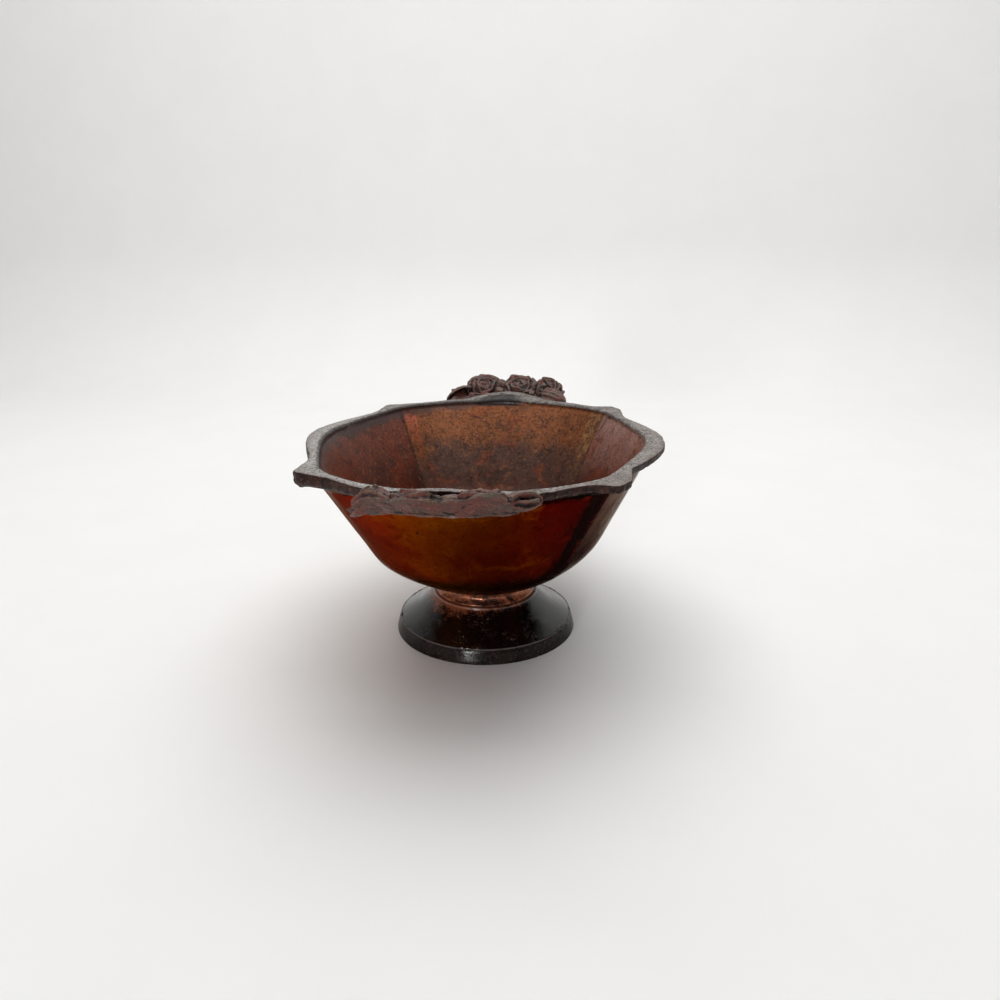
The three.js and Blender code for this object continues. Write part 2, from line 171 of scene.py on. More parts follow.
def mirrored(right, left, front_right):
    """Closes quarters: the front half is the back half's image but for its right quarter."""
    back, front = (np.vstack([q, left[-2::-1] * (-1, 1)]) for q in (right, front_right))
    return np.vstack([back, front[-2:0:-1] * (1, -1)])


def wall_quarter():
    radius = END_REACH - END_CENTRE
    start = math.atan2(FACET_END[1] - END_CENTRE, FACET_END[0])

    def side(t):
        return np.column_stack([side_x(t * FLANK_START), t * FLANK_START])

    def flank(t):
        y = FLANK_START + (SHOULDER_Y - FLANK_START) * t
        return np.column_stack([side_x(y), y])

    def end(t):
        a = start + (math.pi / 2 - start) * t
        return np.column_stack([radius * np.cos(a), END_CENTRE + radius * np.sin(a)])

    return quarter(side, flank, lambda t: line((SHOULDER_X, SHOULDER_Y), FACET_END, t), end)


def tab_curve(tip):
    tip = (SHOULDER_X + tip[0], SHOULDER_Y + tip[1])
    hollow = (FACET_END[0] + TAB_HOLLOW[0], FACET_END[1] + TAB_HOLLOW[1])
    rise = TAB_REACH - hollow[1]
    bends = [(hollow[0] * across, hollow[1] + rise * out) for across, out in TAB_BEND_SHARES]
    return even_curve([tip, hollow] + bends + [(0, TAB_REACH)], (-1, 1))


def rim_side(bend_shares):
    bends = [(NOTCH[0] + SIDE_BEND * out, NOTCH[1] * back) for out, back in bend_shares]
    return even_curve([NOTCH] + bends + [(RIM_SIDE_REACH, 0)], (1, -1))


def rim_quarter(tip, bend_shares=SIDE_BEND_SHARES):
    tab = tab_curve(tip)
    end = tab(0)[0]
    side = rim_side(bend_shares)
    return quarter(lambda t: side((1 - t) / 2), lambda t: line(NOTCH, EAR, t),
                   lambda t: line(EAR, end, t), lambda t: tab(t / 2))


def smoothed(outline, passes):
    for _ in range(passes):
        outline = (np.roll(outline, 1, 0) + 2 * outline + np.roll(outline, -1, 0)) / 4
    return outline


def unit(vectors):
    return vectors / np.maximum(np.linalg.norm(vectors, axis=-1, keepdims=True), 1e-9)


def inset(outline, distance):
    """The outline moved in by a distance, which is one number or one for each station."""
    along = np.roll(outline, -1, 0) - np.roll(outline, 1, 0)
    inward = unit(np.column_stack([along[:, 1], -along[:, 0]]))
    return outline - inward * np.reshape(distance, (-1, 1))


WALL_SHARP = mirrored(wall_quarter(), wall_quarter(), wall_quarter())
ANGLES = np.arctan2(WALL_SHARP[:, 1], WALL_SHARP[:, 0])
WALL_OUTLINE = smoothed(WALL_SHARP, 4)
RIM_SHARP = mirrored(rim_quarter(RIGHT_EAR_TIP), rim_quarter(LEFT_EAR_TIP),
                     rim_quarter(RIGHT_EAR_TIP, FRONT_RIGHT_BEND_SHARES))
RIM_OUTLINE = smoothed(RIM_SHARP, 5)
AROUND = len(WALL_OUTLINE)


# Bowl: one closed skin of rings, as in the CAD source but finer and with rounded edges
def wall_ring(share):
    """Points of the outer face at one height; share is one number for each station."""
    section = WALL_SECTION(share)
    width, height = section[:, 0], section[:, 1]
    rise = (height - SEAT_BOSS_HEIGHT) / (WALL_HEIGHT - SEAT_BOSS_HEIGHT)
    square = np.clip(rise, 0, 1) ** SQUARING
    x = (np.cos(ANGLES) * (1 - square) + WALL_OUTLINE[:, 0] / SIDE_REACH * square) * width
    y = (np.sin(ANGLES) * (1 - square) + WALL_OUTLINE[:, 1] / SIDE_REACH * square) * width
    return np.column_stack([x, y, SEAT_Z + height])


FINE_SHARES = np.linspace(0, 1, 4001)
FINE_SECTION = WALL_SECTION(FINE_SHARES)


def share_at_height(height):
    return np.interp(height, FINE_SECTION[:, 1], FINE_SHARES)


def wall_height_at(radius):
    return np.interp(radius, FINE_SECTION[:, 0], FINE_SECTION[:, 1])


def flat_ring(outline, z):
    return np.column_stack([outline, np.broadcast_to(z, len(outline))])


def circle(radius, z):
    return np.column_stack([radius * np.cos(ANGLES), radius * np.sin(ANGLES), np.full(AROUND, z)])


def eased(value, low, high):
    t = np.clip((value - low) / (high - low), 0, 1)
    return t * t * (3 - 2 * t)


def soft_above(z, floor, blend):
    """z where it is well above floor, easing into floor over blend."""
    return floor + (z - floor + np.sqrt((z - floor) ** 2 + blend ** 2)) / 2


def tab_share():
    """1 at the middle of each tab, 0 away from it."""
    return eased(np.arcsin(np.abs(np.sin(ANGLES))), TAB_RISE_START, math.pi / 2)


# Rings of the bowl's skin
WALL_LEVELS = 56
LEVEL_CROWDING = 0.9
EDGE_STEPS = 6
UNDER_RIM_SHARES = (0.12, 0.35, 0.7)
UNDER_RIM_SAG = 0.6
RIM_FACE_SHARES = (0.25, 0.5, 0.75)
RIM_TOP_SHARES = (0.12, 0.24, 0.36, 0.48, 0.6, 0.72, 0.86)
TAB_FALL_START = 0.2
FLOOR_SHARES = (0.75, 0.5, 0.25, 0.1)
FLOOR_BLEND = 1.6
# Edge roundings of the rim: shares of its thickness outside, millimetres at the lip
OUTER_EDGE_SHARE = 0.16
UNDER_EDGE_SHARE = 0.45
LIP_EDGE = 1.3
# "brim" runs from -1 on the rim's face over 0 at its outer edge and 1 at the lip to this inside
LIP_TURN_END = 1.5
# Depths of the casting's unevenness, in millimetres, and the share of them that the inside has
WALL_WAVES = 0.14
WALL_RIPPLES = 0.02
RIM_FACE_PITS = 0.7
RIM_FACE_WAVES = 0.2
RIM_TOP_PITS = 0.25
RIM_TOP_WAVES = 0.25
INSIDE_WEAR = 0.6
# Grains of unevenness: size in millimetres and seed
WALL_WAVE_GRAIN, WALL_RIPPLE_GRAIN = (17, 1), (5.5, 2)
RIM_PIT_GRAIN, RIM_WAVE_GRAIN = (2.3, 3), (6, 4)
FOOT_CHIP_GRAIN, FOOT_WAVE_GRAIN = (2.1, 11), (9, 12)
NECK_GRAIN = (3.5, 21)
GARLAND_BACK_GRAIN = (3.4, 31)
GARLAND_FINE_GRAIN, GARLAND_WAVE_GRAIN = (1.5, 41), (3.2, 42)
# Heights over the floor between which the panels' own colours set in, and their crease's half width
PANEL_FADE = (6, 30)
CREASE_STATIONS = 2.2


def grain(points, size, seed):
    """Smooth noise from about -1 to 1 with features of that size in millimetres."""
    shift = Vector((seed * 7.3, seed * 3.1, seed * 5.7))
    return np.array([noise.noise(Vector(p) / size + shift) for p in points])


def rim_swell():
    return ((1 + np.cos(ANGLES - RIM_SWELL_SIDE)) / 2) ** RIM_SWELL_SHARPNESS


def bowl_rings():
    """The rings from the stud hole out, up, over the rim and down to the floor's middle,
    and the numbers of the first ones of the rim, of its top and of the inner wall."""
    thickness = RIM_THICKNESS + RIM_SWELL * rim_swell()
    outer_edge, under_edge = OUTER_EDGE_SHARE * thickness, UNDER_EDGE_SHARE * thickness
    under = share_at_height(RIM_HEIGHT - thickness - RIM_ROOT_DROP)
    levels = np.linspace(0, 1, WALL_LEVELS) ** LEVEL_CROWDING
    hole = STUD_RADIUS + FIT_GAP
    rings = [circle(hole, SEAT_Z + STUD_HOLE_DEPTH), circle(hole, SEAT_Z), circle(SEAT_RADIUS, SEAT_Z)]
    rings += [wall_ring(under * s) for s in levels]
    outer_end = len(rings)
    tabs = tab_share()
    low = RIM_Z - thickness
    high = RIM_Z + TAB_RISE * tabs
    root = rings[-1]
    flange = inset(RIM_OUTLINE, under_edge)
    for s in UNDER_RIM_SHARES:
        sag = s ** UNDER_RIM_SAG
        rings.append(flat_ring(root[:, :2] * (1 - s) + flange * s, root[:, 2] * (1 - sag) + low * sag))
    turns = np.linspace(0, math.pi / 2, EDGE_STEPS)
    for a in turns:
        rings.append(flat_ring(inset(RIM_OUTLINE, under_edge * (1 - math.sin(a))),
                               low + under_edge * (1 - math.cos(a))))
    for s in RIM_FACE_SHARES:
        rings.append(flat_ring(RIM_OUTLINE, (low + under_edge) * (1 - s) + (high - outer_edge) * s))
    for a in turns:
        rings.append(flat_ring(inset(RIM_OUTLINE, outer_edge * (1 - math.cos(a))),
                               high - outer_edge * (1 - math.sin(a))))
    top_start = len(rings)
    lip = inset(WALL_OUTLINE, LIP_INSET)
    inner_high = RIM_Z + TAB_INNER_RISE * tabs
    top_out, top_in = rings[-1], flat_ring(inset(lip, -LIP_EDGE), inner_high)
    for s in RIM_TOP_SHARES:
        ring = top_out * (1 - s) + top_in * s
        fall = eased(s, TAB_FALL_START, 1)
        ring[:, 2] = high * (1 - fall) + inner_high * fall
        rings.append(ring)
    for a in turns:
        rings.append(flat_ring(inset(lip, -LIP_EDGE * (1 - math.sin(a))),
                               inner_high - LIP_EDGE * (1 - math.cos(a))))
    inner_start = len(rings)
    outer = [wall_ring(np.full(AROUND, s)) for s in levels]
    inner = inside_of(outer)[::-1]
    rings += list(inner)
    bottom = inner[-1]
    for s in FLOOR_SHARES:
        ring = bottom * (s, s, 1)
        ring[:, 2] = bottom[:, 2] * s + FLOOR_Z * (1 - s)
        rings.append(ring)
    return np.array(rings), outer_end, top_start, inner_start


def inside_of(rings):
    """The inner face: the outer one's rings moved in by the wall's thickness, flat at the floor."""
    rings = np.array(rings)
    up = np.concatenate([rings[1:], rings[-1:]])
    down = np.concatenate([rings[:1], rings[:-1]])
    along = np.roll(rings, -1, 1) - np.roll(rings, 1, 1)
    inner = rings - unit(np.cross(along, up - down)) * WALL_THICKNESS
    inner[..., 2] = soft_above(inner[..., 2], FLOOR_Z, FLOOR_BLEND)
    return inner


def mesh_object(name, points, faces, materials, face_materials=None):
    mesh = bpy.data.meshes.new(name)
    mesh.from_pydata((np.asarray(points) * MM).tolist(), [], faces)
    for material in materials:
        mesh.materials.append(material)
    if face_materials is not None:
        mesh.polygons.foreach_set("material_index", face_materials)
    mesh.polygons.foreach_set("use_smooth", [True] * len(mesh.polygons))
    mesh.update()
    made = bpy.data.objects.new(name, mesh)
    bpy.context.scene.collection.objects.link(made)
    return made


def push(points, normals, depth):
    return points - normals * depth[..., None]


def ring_normals(rings):
    along = np.roll(rings, -1, 1) - np.roll(rings, 1, 1)
    return unit(np.cross(along, np.gradient(rings, axis=0)))


def quarter_place():
    """Each station's number within its quarter, counted from the side towards the end."""
    quarter_size = sum(STEPS)
    place = np.arange(AROUND) % (2 * quarter_size)
    return np.minimum(place, 2 * quarter_size - place)


def keep(mesh, name, values):
    """Stores one number for each vertex, for the materials to read."""
    mesh.attributes.new(name, "FLOAT", "POINT").data.foreach_set("value", values)


def bowl(materials):
    rings, outer_end, top_start, inner_start = bowl_rings()
    normals = ring_normals(rings)
    flat = rings.reshape(-1, 3)
    shape = rings.shape[:2]
    depth = (WALL_WAVES * (1 + grain(flat, *WALL_WAVE_GRAIN)) / 2
             + WALL_RIPPLES * (1 + grain(flat, *WALL_RIPPLE_GRAIN)) / 2).reshape(shape)
    pits = np.clip(grain(flat, *RIM_PIT_GRAIN) - 0.05, 0, 1).reshape(shape)
    waves = np.clip(grain(flat, *RIM_WAVE_GRAIN), 0, 1).reshape(shape)
    face, top = slice(outer_end + 1, top_start - 2), slice(top_start - 2, inner_start)
    depth[face] += pits[face] * RIM_FACE_PITS + waves[face] * RIM_FACE_WAVES
    depth[top] += pits[top] * RIM_TOP_PITS + waves[top] * RIM_TOP_WAVES
    depth[:3] = 0
    depth[inner_start:] *= INSIDE_WEAR
    rings = push(rings, normals, depth)
    count = len(rings)
    points = np.vstack([[[0, 0, SEAT_Z + STUD_HOLE_DEPTH]], rings.reshape(-1, 3), [[0, 0, FLOOR_Z]]])
    faces, kinds = [], []
    last = count * AROUND + 1
    for i in range(AROUND):
        j = (i + 1) % AROUND
        faces.append((0, 1 + j, 1 + i))
        kinds.append(0)
        faces.append((last, last - AROUND + i, last - AROUND + j))
        kinds.append(2)
        for r in range(count - 1):
            a = 1 + r * AROUND
            b = a + AROUND
            faces.append((a + i, a + j, b + j, b + i))
            kinds.append(0 if r < outer_end - 1 else 1 if r < inner_start else 2)
    made = mesh_object("bowl_shell", points, faces, materials, kinds)
    # How far each point is on a side panel, on a corner facet, on the crease beside it, across the rim
    place = quarter_place()
    corner, end = STEPS[0] + STEPS[1], sum(STEPS[:3])
    panel = 1 - eased(place, corner - 2, corner + 1)
    facet = eased(place, corner + 1, corner + 4) * (1 - eased(place, end - 2, end + 1))
    crease = np.exp(-((place - corner - 1) / CREASE_STATIONS) ** 2)
    across = np.concatenate([
        np.full(top_start - EDGE_STEPS, -1.0), np.linspace(-1, 0, EDGE_STEPS), RIM_TOP_SHARES,
        np.linspace(1, LIP_TURN_END, EDGE_STEPS), np.full(count - inner_start, LIP_TURN_END)])
    fade_low, fade_high = PANEL_FADE
    clear = eased(rings[..., 2].mean(1), FLOOR_Z + fade_low, FLOOR_Z + fade_high)[:, None]
    for name, values, flat_value in (("panel", panel, 0.5), ("facet", facet, 0), ("crease", crease, 0)):
        blended = values * clear + flat_value * (1 - clear)
        keep(made.data, name, np.concatenate([[flat_value], blended.ravel(), [flat_value]]))
    keep(made.data, "brim", np.concatenate([[-1], np.repeat(across, AROUND), [LIP_TURN_END]]))
    return made


# Turned pieces
def bent(start, corner, end, count):
    """Points of the curve that leaves start towards corner and comes from there to end."""
    return [start * (1 - t) ** 2 + corner * 2 * t * (1 - t) + end * t * t
            for t in np.linspace(0, 1, count)]


def rounded(profile, radius, steps=4):
    """A profile whose corners are rounded; each row is (r, z, share of radius)."""
    out = []
    for i, (r, z, share) in enumerate(profile):
        here = np.array((r, z))
        if share == 0 or i in (0, len(profile) - 1):
            out.append(here)
            continue
        before, after = np.array(profile[i - 1][:2]), np.array(profile[i + 1][:2])
        reach = radius * share
        a = here + (before - here) / np.linalg.norm(before - here) * reach
        b = here + (after - here) / np.linalg.norm(after - here) * reach
        out += bent(a, here, b, steps + 1)
    return out


def split(profile, longest):
    out = [profile[0]]
    for a, b in zip(profile, profile[1:]):
        n = max(1, math.ceil(np.linalg.norm(b - a) / longest))
        out += [a + (b - a) * k / n for k in range(1, n + 1)]
    return out


TURN_STEPS = 256
FOOT_EDGE_ROUND = 0.9
PROFILE_STEP = 1.4
NECK_STEPS = 15
# Where the foot's cone is drawn in, and how deep its outer face and the chips in its edge are
CONE_MIDDLE_Z = 11.2
CONE_HOLLOW = 0.5
FOOT_WAVES = 0.05
FOOT_CHIPS = 0.6
FOOT_CHIP_REACH = 0.8
NECK_WAVES = 0.06


def turned(name, profile, materials, wear, kind_at=lambda r, z: 0):
    """A closed ring turned round Z; the profile's last point joins its first. wear(points) is
    how deep each point is worn, and kind_at(r, z) the number of a face's material."""
    a = np.arange(TURN_STEPS) * 2 * math.pi / TURN_STEPS
    profile = np.array(profile)
    along = np.roll(profile, -1, 0) - np.roll(profile, 1, 0)
    rings, normals = (
        np.stack([np.column_stack([r * np.cos(a), r * np.sin(a), np.full(TURN_STEPS, z)]) for r, z in rows])
        for rows in (profile, unit(np.column_stack([along[:, 1], -along[:, 0]]))))
    depth = wear(rings.reshape(-1, 3)).reshape(rings.shape[:2])
    points = push(rings, normals, depth).reshape(-1, 3)
    faces, kinds = [], []
    rows = len(profile)
    for r in range(rows):
        up = (r + 1) % rows
        kinds += [kind_at(*(profile[r] + profile[up]) / 2)] * TURN_STEPS
        for i in range(TURN_STEPS):
            j = (i + 1) % TURN_STEPS
            faces.append(tuple(row * TURN_STEPS + k for row, k in ((r, i), (r, j), (up, j), (up, i))))
    return mesh_object(name, points, faces, materials, kinds)


def foot(materials):
    lip_top = FOOT_RADIUS - FOOT_LIP_DRAFT
    cone = lip_top - FOOT_LIP_STEP
    plate = FOOT_HEIGHT - FOOT_TOP_PLATE
    hole = STUD_RADIUS + FIT_GAP
    profile = [
        (FOOT_RADIUS - FOOT_WALL, 0, 0), (FOOT_RADIUS, 0, 0.7), (lip_top, FOOT_LIP_HEIGHT, 0.9),
        (cone, FOOT_LIP_HEIGHT + 0.15, 0.3),
        ((cone + FOOT_TOP_RADIUS) / 2 - CONE_HOLLOW, CONE_MIDDLE_Z, 1),
        (FOOT_TOP_RADIUS, FOOT_HEIGHT - 0.9, 0.4), (FOOT_TOP_RADIUS, FOOT_HEIGHT, 0.5),
        (hole, FOOT_HEIGHT, 0), (hole, plate, 0), (FOOT_TOP_RADIUS - FOOT_WALL, plate, 1),
        (cone - FOOT_WALL, FOOT_LIP_HEIGHT - FOOT_WALL / 2, 1),
    ]
    points = split(rounded(profile, FOOT_EDGE_ROUND), PROFILE_STEP)

    def wear(p):
        """The outer faces are uneven, and the lip's edge is chipped."""
        x, y, z = p.T
        outside = (z > 0.3) & (z < FOOT_HEIGHT - 0.2) & (np.hypot(x, y) > FOOT_TOP_RADIUS - 1)
        at_edge = np.exp(-((z - FOOT_LIP_HEIGHT) / FOOT_CHIP_REACH) ** 2)
        chips = np.clip(grain(p, *FOOT_CHIP_GRAIN) - 0.15, 0, 1) * FOOT_CHIPS * at_edge
        return outside * (FOOT_WAVES * (1 + grain(p, *FOOT_WAVE_GRAIN)) + chips)

    def kind_at(r, z):
        return 1 if z < FOOT_LIP_HEIGHT and r > cone - 0.3 else 0

    return turned("foot_cone", points, materials, wear, kind_at)


def neck(material):
    bottom_radius = FOOT_TOP_RADIUS - COLLAR_STEP
    inside = SEAT_RADIUS + FIT_GAP

    def under(radius):
        return SEAT_Z + wall_height_at(radius) - FIT_GAP

    top = under(COLLAR_TOP_RADIUS)
    middle = np.array((2 * COLLAR_WAIST_RADIUS - (bottom_radius + COLLAR_TOP_RADIUS) / 2,
                       (SEAT_Z + top) / 2))
    start, end = np.array((bottom_radius, SEAT_Z)), np.array((COLLAR_TOP_RADIUS, top))
    profile = [np.array((inside, SEAT_Z))] + bent(start, middle, end, NECK_STEPS)
    for r in np.linspace(COLLAR_TOP_RADIUS, inside, 6)[1:]:
        profile.append(np.array((r, under(r))))

    def wear(p):
        outside = np.hypot(p[:, 0], p[:, 1]) > COLLAR_WAIST_RADIUS - 0.5
        return outside * (NECK_WAVES * (1 + grain(p, *NECK_GRAIN)))

    return turned("neck_ring", profile, [material], wear)


# Garlands: roses, buds, leaves and a vine, fused into one casting
TUBE_SIDES = 14


class Casting:
    """Closed forms gathered in one mesh, in the garland's own coordinates: x along the spine,
    y up its slope and z, here called face, towards the bowl."""

    def __init__(self):
        self.points, self.faces = [], []

    def add(self, points, faces):
        start = sum(len(p) for p in self.points)
        self.points.append(np.asarray(points, float))
        self.faces += [tuple(start + i for i in f) for f in faces]

    def sheet(self, grid, thickness):
        """A closed plate round a grid of points; thickness is an array over the grid."""
        normal = unit(np.cross(np.gradient(grid, axis=0), np.gradient(grid, axis=1)))
        half = normal * (np.broadcast_to(thickness, grid.shape[:2]) / 2)[..., None]
        rows, columns = grid.shape[:2]
        size = rows * columns
        faces = []
        for r in range(rows - 1):
            for c in range(columns - 1):
                a, b = r * columns + c, (r + 1) * columns + c
                faces.append((a, b, b + 1, a + 1))
                faces.append((size + a + 1, size + b + 1, size + b, size + a))
        edge = ([c for c in range(columns)]
                + [r * columns + columns - 1 for r in range(1, rows)]
                + [(rows - 1) * columns + c for c in range(columns - 2, -1, -1)]
                + [r * columns for r in range(rows - 2, 0, -1)])
        for a, b in zip(edge, edge[1:] + edge[:1]):
            faces.append((a, b, size + b, size + a))
        self.add(np.vstack([(grid + half).reshape(-1, 3), (grid - half).reshape(-1, 3)]), faces)

    def wrapped(self, grid):
        """A closed form from rings of points, drawn to a point at each end."""
        rows, columns = grid.shape[:2]
        points = np.vstack([[grid[0].mean(0)], grid.reshape(-1, 3), [grid[-1].mean(0)]])
        faces = []
        for c in range(columns):
            d = (c + 1) % columns
            end = 1 + (rows - 1) * columns
            faces.append((0, 1 + c, 1 + d))
            faces.append((len(points) - 1, end + d, end + c))
            for r in range(rows - 1):
                a, b = 1 + r * columns, 1 + (r + 1) * columns
                faces.append((a + c, b + c, b + d, a + d))
        self.add(points, faces)

    def tube(self, path, radii):
        sides = TUBE_SIDES
        path = np.asarray(path, float)
        ahead = unit(np.gradient(path, axis=0))
        side = unit(np.cross(ahead, (0, 0.3, 1)))
        up = np.cross(side, ahead)
        points = []
        for p, s, u, r in zip(path, side, up, np.broadcast_to(radii, len(path))):
            for k in range(sides):
                a = 2 * math.pi * k / sides
                points.append(p + (s * math.cos(a) + u * math.sin(a)) * r)
        faces = [tuple(range(sides)), tuple((len(path) - 1) * sides + k for k in range(sides - 1, -1, -1))]
        for i in range(len(path) - 1):
            for k in range(sides):
                m = (k + 1) % sides
                a, b = i * sides, (i + 1) * sides
                faces.append((a + k, b + k, b + m, a + m))
        self.add(points, faces)


# Rows and columns of the forms' grids
ROSE_GRID = (96, 180)
BUD_GRID = (40, 80)
CURL_GRID = (40, 61)
POD_GRID = (72, 96)
LEAF_GRID = (26, 17)
MASS_GRID = (30, 150)
PLATE_GRID = (5, 61)


def globe(grid, end=math.pi):
    """Angles down from a pole to end, one for each row, and round the axis, one for each column."""
    rows, columns = grid
    return (np.linspace(0, end, rows)[:, None],
            np.linspace(0, 2 * math.pi, columns, endpoint=False)[None, :])


def place_forms(cast, piece, place, spin=0, lean=0, lean_axis="X"):
    """Adds a piece's forms to the cast, leant, spun round the face's normal and moved to place."""
    turn = np.array(Matrix.Rotation(spin, 3, "Z") @ Matrix.Rotation(lean, 3, lean_axis))
    cast.add(np.vstack(piece.points) @ turn.T + place, piece.faces)


def place_wrapped(cast, grid, *placing):
    piece = Casting()
    piece.wrapped(grid)
    place_forms(cast, piece, *placing)


ROSE_DEPTH = 0.7
ROSE_CORE = 0.68
ROSE_SCALE = 1.12
ROSE_POLAR_END = math.radians(150)
# How petals differ: shift round the rose, width, height, slant and shift of the rim in degrees
PETAL_SHIFT = 0.18
PETAL_WIDTHS = (0.88, 1.12)
PETAL_HEIGHTS = (0.8, 1.2)
PETAL_SLANT = 0.4
PETAL_RIM_SHIFT = 5
# Their wavy rims, rise over the rim, fall behind it, lift of one side and soft sides
PETAL_WAVE = 0.05
PETAL_RISE = (0.05, 0.04)
PETAL_FALL = 0.85
PETAL_LIFT = 0.3
PETAL_SIDE = 0.84
# The near garland's roses are narrower than they are high
NEAR_ROSE_WIDTH = 0.86
ROSE_LAYERS = (
    # petals, polar angle of their rims, half width, dip of the rim at its sides, growth, height, fall
    (2, 14, 104, 12, 0.03, 0.06, 0.25),
    (3, 30, 80, 24, 0.05, 0.08, 0.35),
    (3, 47, 74, 28, 0.06, 0.08, 0.4),
    (4, 66, 60, 26, 0.07, 0.07, 0.45),
    (4, 90, 58, 22, 0.06, 0.05, 0.5),
)


def rose(cast, x, along, radius, turn, seed, wide):
    """A cabbage rose: a dome of petals that overlap like shingles, each proud at its wavy rim."""
    rng = random.Random(seed)
    polar, around = globe(ROSE_GRID, ROSE_POLAR_END)
    before, past = PETAL_RISE
    reach = np.full(ROSE_GRID, ROSE_CORE) - 0.06 * np.exp(-(polar / 0.15) ** 2)
    for layer, (count, rim, half, dip, growth, height, fall) in enumerate(ROSE_LAYERS):
        step = np.zeros_like(reach)
        for k in range(count):
            shift = rng.uniform(-PETAL_SHIFT, PETAL_SHIFT)
            middle = turn + (k + 0.5 * layer + shift) * 2 * math.pi / count
            side = (around - middle + math.pi) % (2 * math.pi) - math.pi
            side = side / math.radians(half * rng.uniform(*PETAL_WIDTHS))
            lift, skew = rng.uniform(*PETAL_HEIGHTS), rng.uniform(-PETAL_SLANT, PETAL_SLANT)
            edge = math.radians(rim + rng.uniform(-PETAL_RIM_SHIFT, PETAL_RIM_SHIFT))
            edge = edge + math.radians(dip) * side ** 2 * (1 + skew * side)
            edge = edge + PETAL_WAVE * np.sin(side * rng.uniform(3, 6) + rng.uniform(0, 6))
            inside = (1 - eased(np.abs(side), PETAL_SIDE, 1.0)) * (1 + PETAL_LIFT * side)
            rise = eased(polar, edge - before, edge + past)
            behind = eased(polar, edge + past, edge + fall)
            proud = height * lift * rise * (1 - PETAL_FALL * behind)
            step = np.maximum(step, (growth * rise + proud) * inside)
        reach += step
    reach *= 1 - 0.45 * eased(polar, 1.75, 2.6)
    reach *= radius * ROSE_SCALE
    points = np.stack([reach * np.sin(polar) * np.cos(around), reach * np.sin(polar) * np.sin(around) * 0.95,
                       reach * np.cos(polar) * ROSE_DEPTH + 0 * around], axis=2)
    points[..., 0] *= wide
    points[..., 2] = soft_above(points[..., 2], -0.2 * radius, 0.8)
    place_wrapped(cast, points, (x, along, -0.6), 0, rng.uniform(-0.25, 0.25))


def bud(cast, x, along, radius, spin, seed, face, ribs, long):
    """A closed bud: an egg with ribs that meet at its tip."""
    rng = random.Random(seed)
    polar, around = globe(BUD_GRID)
    twist = around + 0.8 * polar
    ridge = 1 - np.abs(np.sin(twist * ribs / 2 + rng.uniform(0, 6))) ** 0.7
    reach = radius * (1 - 0.12 * np.cos(polar)) * (1 - 0.12 * ridge * np.sin(polar))
    points = np.stack([reach * np.sin(polar) * np.cos(around), reach * np.cos(polar) * long + 0 * around,
                       reach * np.sin(polar) * np.sin(around) * 0.85], axis=2)
    points[..., 2] = soft_above(points[..., 2], -0.4 * radius, 0.6)
    place_wrapped(cast, points, (x, along, face), spin, 0.15)


CURL_START = -1.5
CURL_THICKNESS = 1.2
CURL_RIB_DEPTH = 0.045


def curled_leaf(cast, tip, mouth, height, depth, closing, ridges):
    """A ribbed leaf curled over a hollow: from its low tip it widens to an open mouth, both given
    by their places along the spine. closing is how far round its front edge comes, in radians."""
    rows, columns = CURL_GRID
    out = np.linspace(0, 1, rows)[:, None]
    turn = np.linspace(CURL_START, closing, columns)[None, :]
    grow = np.sin(math.pi * (0.03 + 0.6 * out ** 0.85))
    ribbed = 1 + CURL_RIB_DEPTH * np.cos(turn * ridges + 1.5 * out) * eased(out, 0.05, 0.4)
    wave = 1 + 0.04 * np.sin(turn * 2.3 + 1) * out
    up = 0.2 + 0.5 * out + height * grow * np.cos(turn) * ribbed * wave
    front = 0.3 + depth * grow * np.sin(turn) * ribbed
    x = tip + (mouth - tip) * out + 0 * turn
    grid = np.stack([x, up, front], axis=2)
    edge = eased(turn, closing - 0.5, closing)
    cast.sheet(grid, CURL_THICKNESS - 0.3 * edge + 0 * out)


POD_RADII = (6.4, 4.4, 4.1)
POD_MOUTH = (-0.1, 0.88, -0.46)
POD_RIBS = 8
# Angles from the pod's mouth: its hollow's floor and wall, and its lip with that one's half width
POD_HOLLOW = (0.66, 0.82)
POD_HOLLOW_DEPTH = 0.85
POD_LIP = (0.92, 0.12)


def open_pod(cast, x, along):
    """A leaf curled right round, open at its top."""
    polar, around = globe(POD_GRID)
    round_about = np.stack([-np.cos(polar) + 0 * around, np.sin(polar) * np.cos(around),
                            np.sin(polar) * np.sin(around)], axis=2)
    ribbed = 1 + 0.05 * np.cos(around * POD_RIBS + 1.2 * polar) * np.sin(polar)
    away = np.arccos(np.clip(round_about @ np.array(POD_MOUTH), -1, 1))
    lip = 0.1 * np.exp(-((away - POD_LIP[0]) / POD_LIP[1]) ** 2)
    reach = ribbed * (1 - POD_HOLLOW_DEPTH * (1 - eased(away, *POD_HOLLOW))) + lip
    place_wrapped(cast, POD_RADII * round_about * reach[..., None], (x, along, 0.6), 0.1)


LEAF_TEETH = 0.07
LEAF_TEETH_TURN = 42
LEAF_FOLD = 0.24
LEAF_VEINS = 6.5
LEAF_VEIN_SLANT = 1.3
LEAF_VEIN_HEIGHT = 0.3
LEAF_RIB_HEIGHT = 0.55
LEAF_RIB_WIDTH = 0.14
LEAF_THICKNESS = 1.15
LEAF_EDGE_THINNER = 0.45
STALK_RADII = (0.75, 0.7, 0.35)


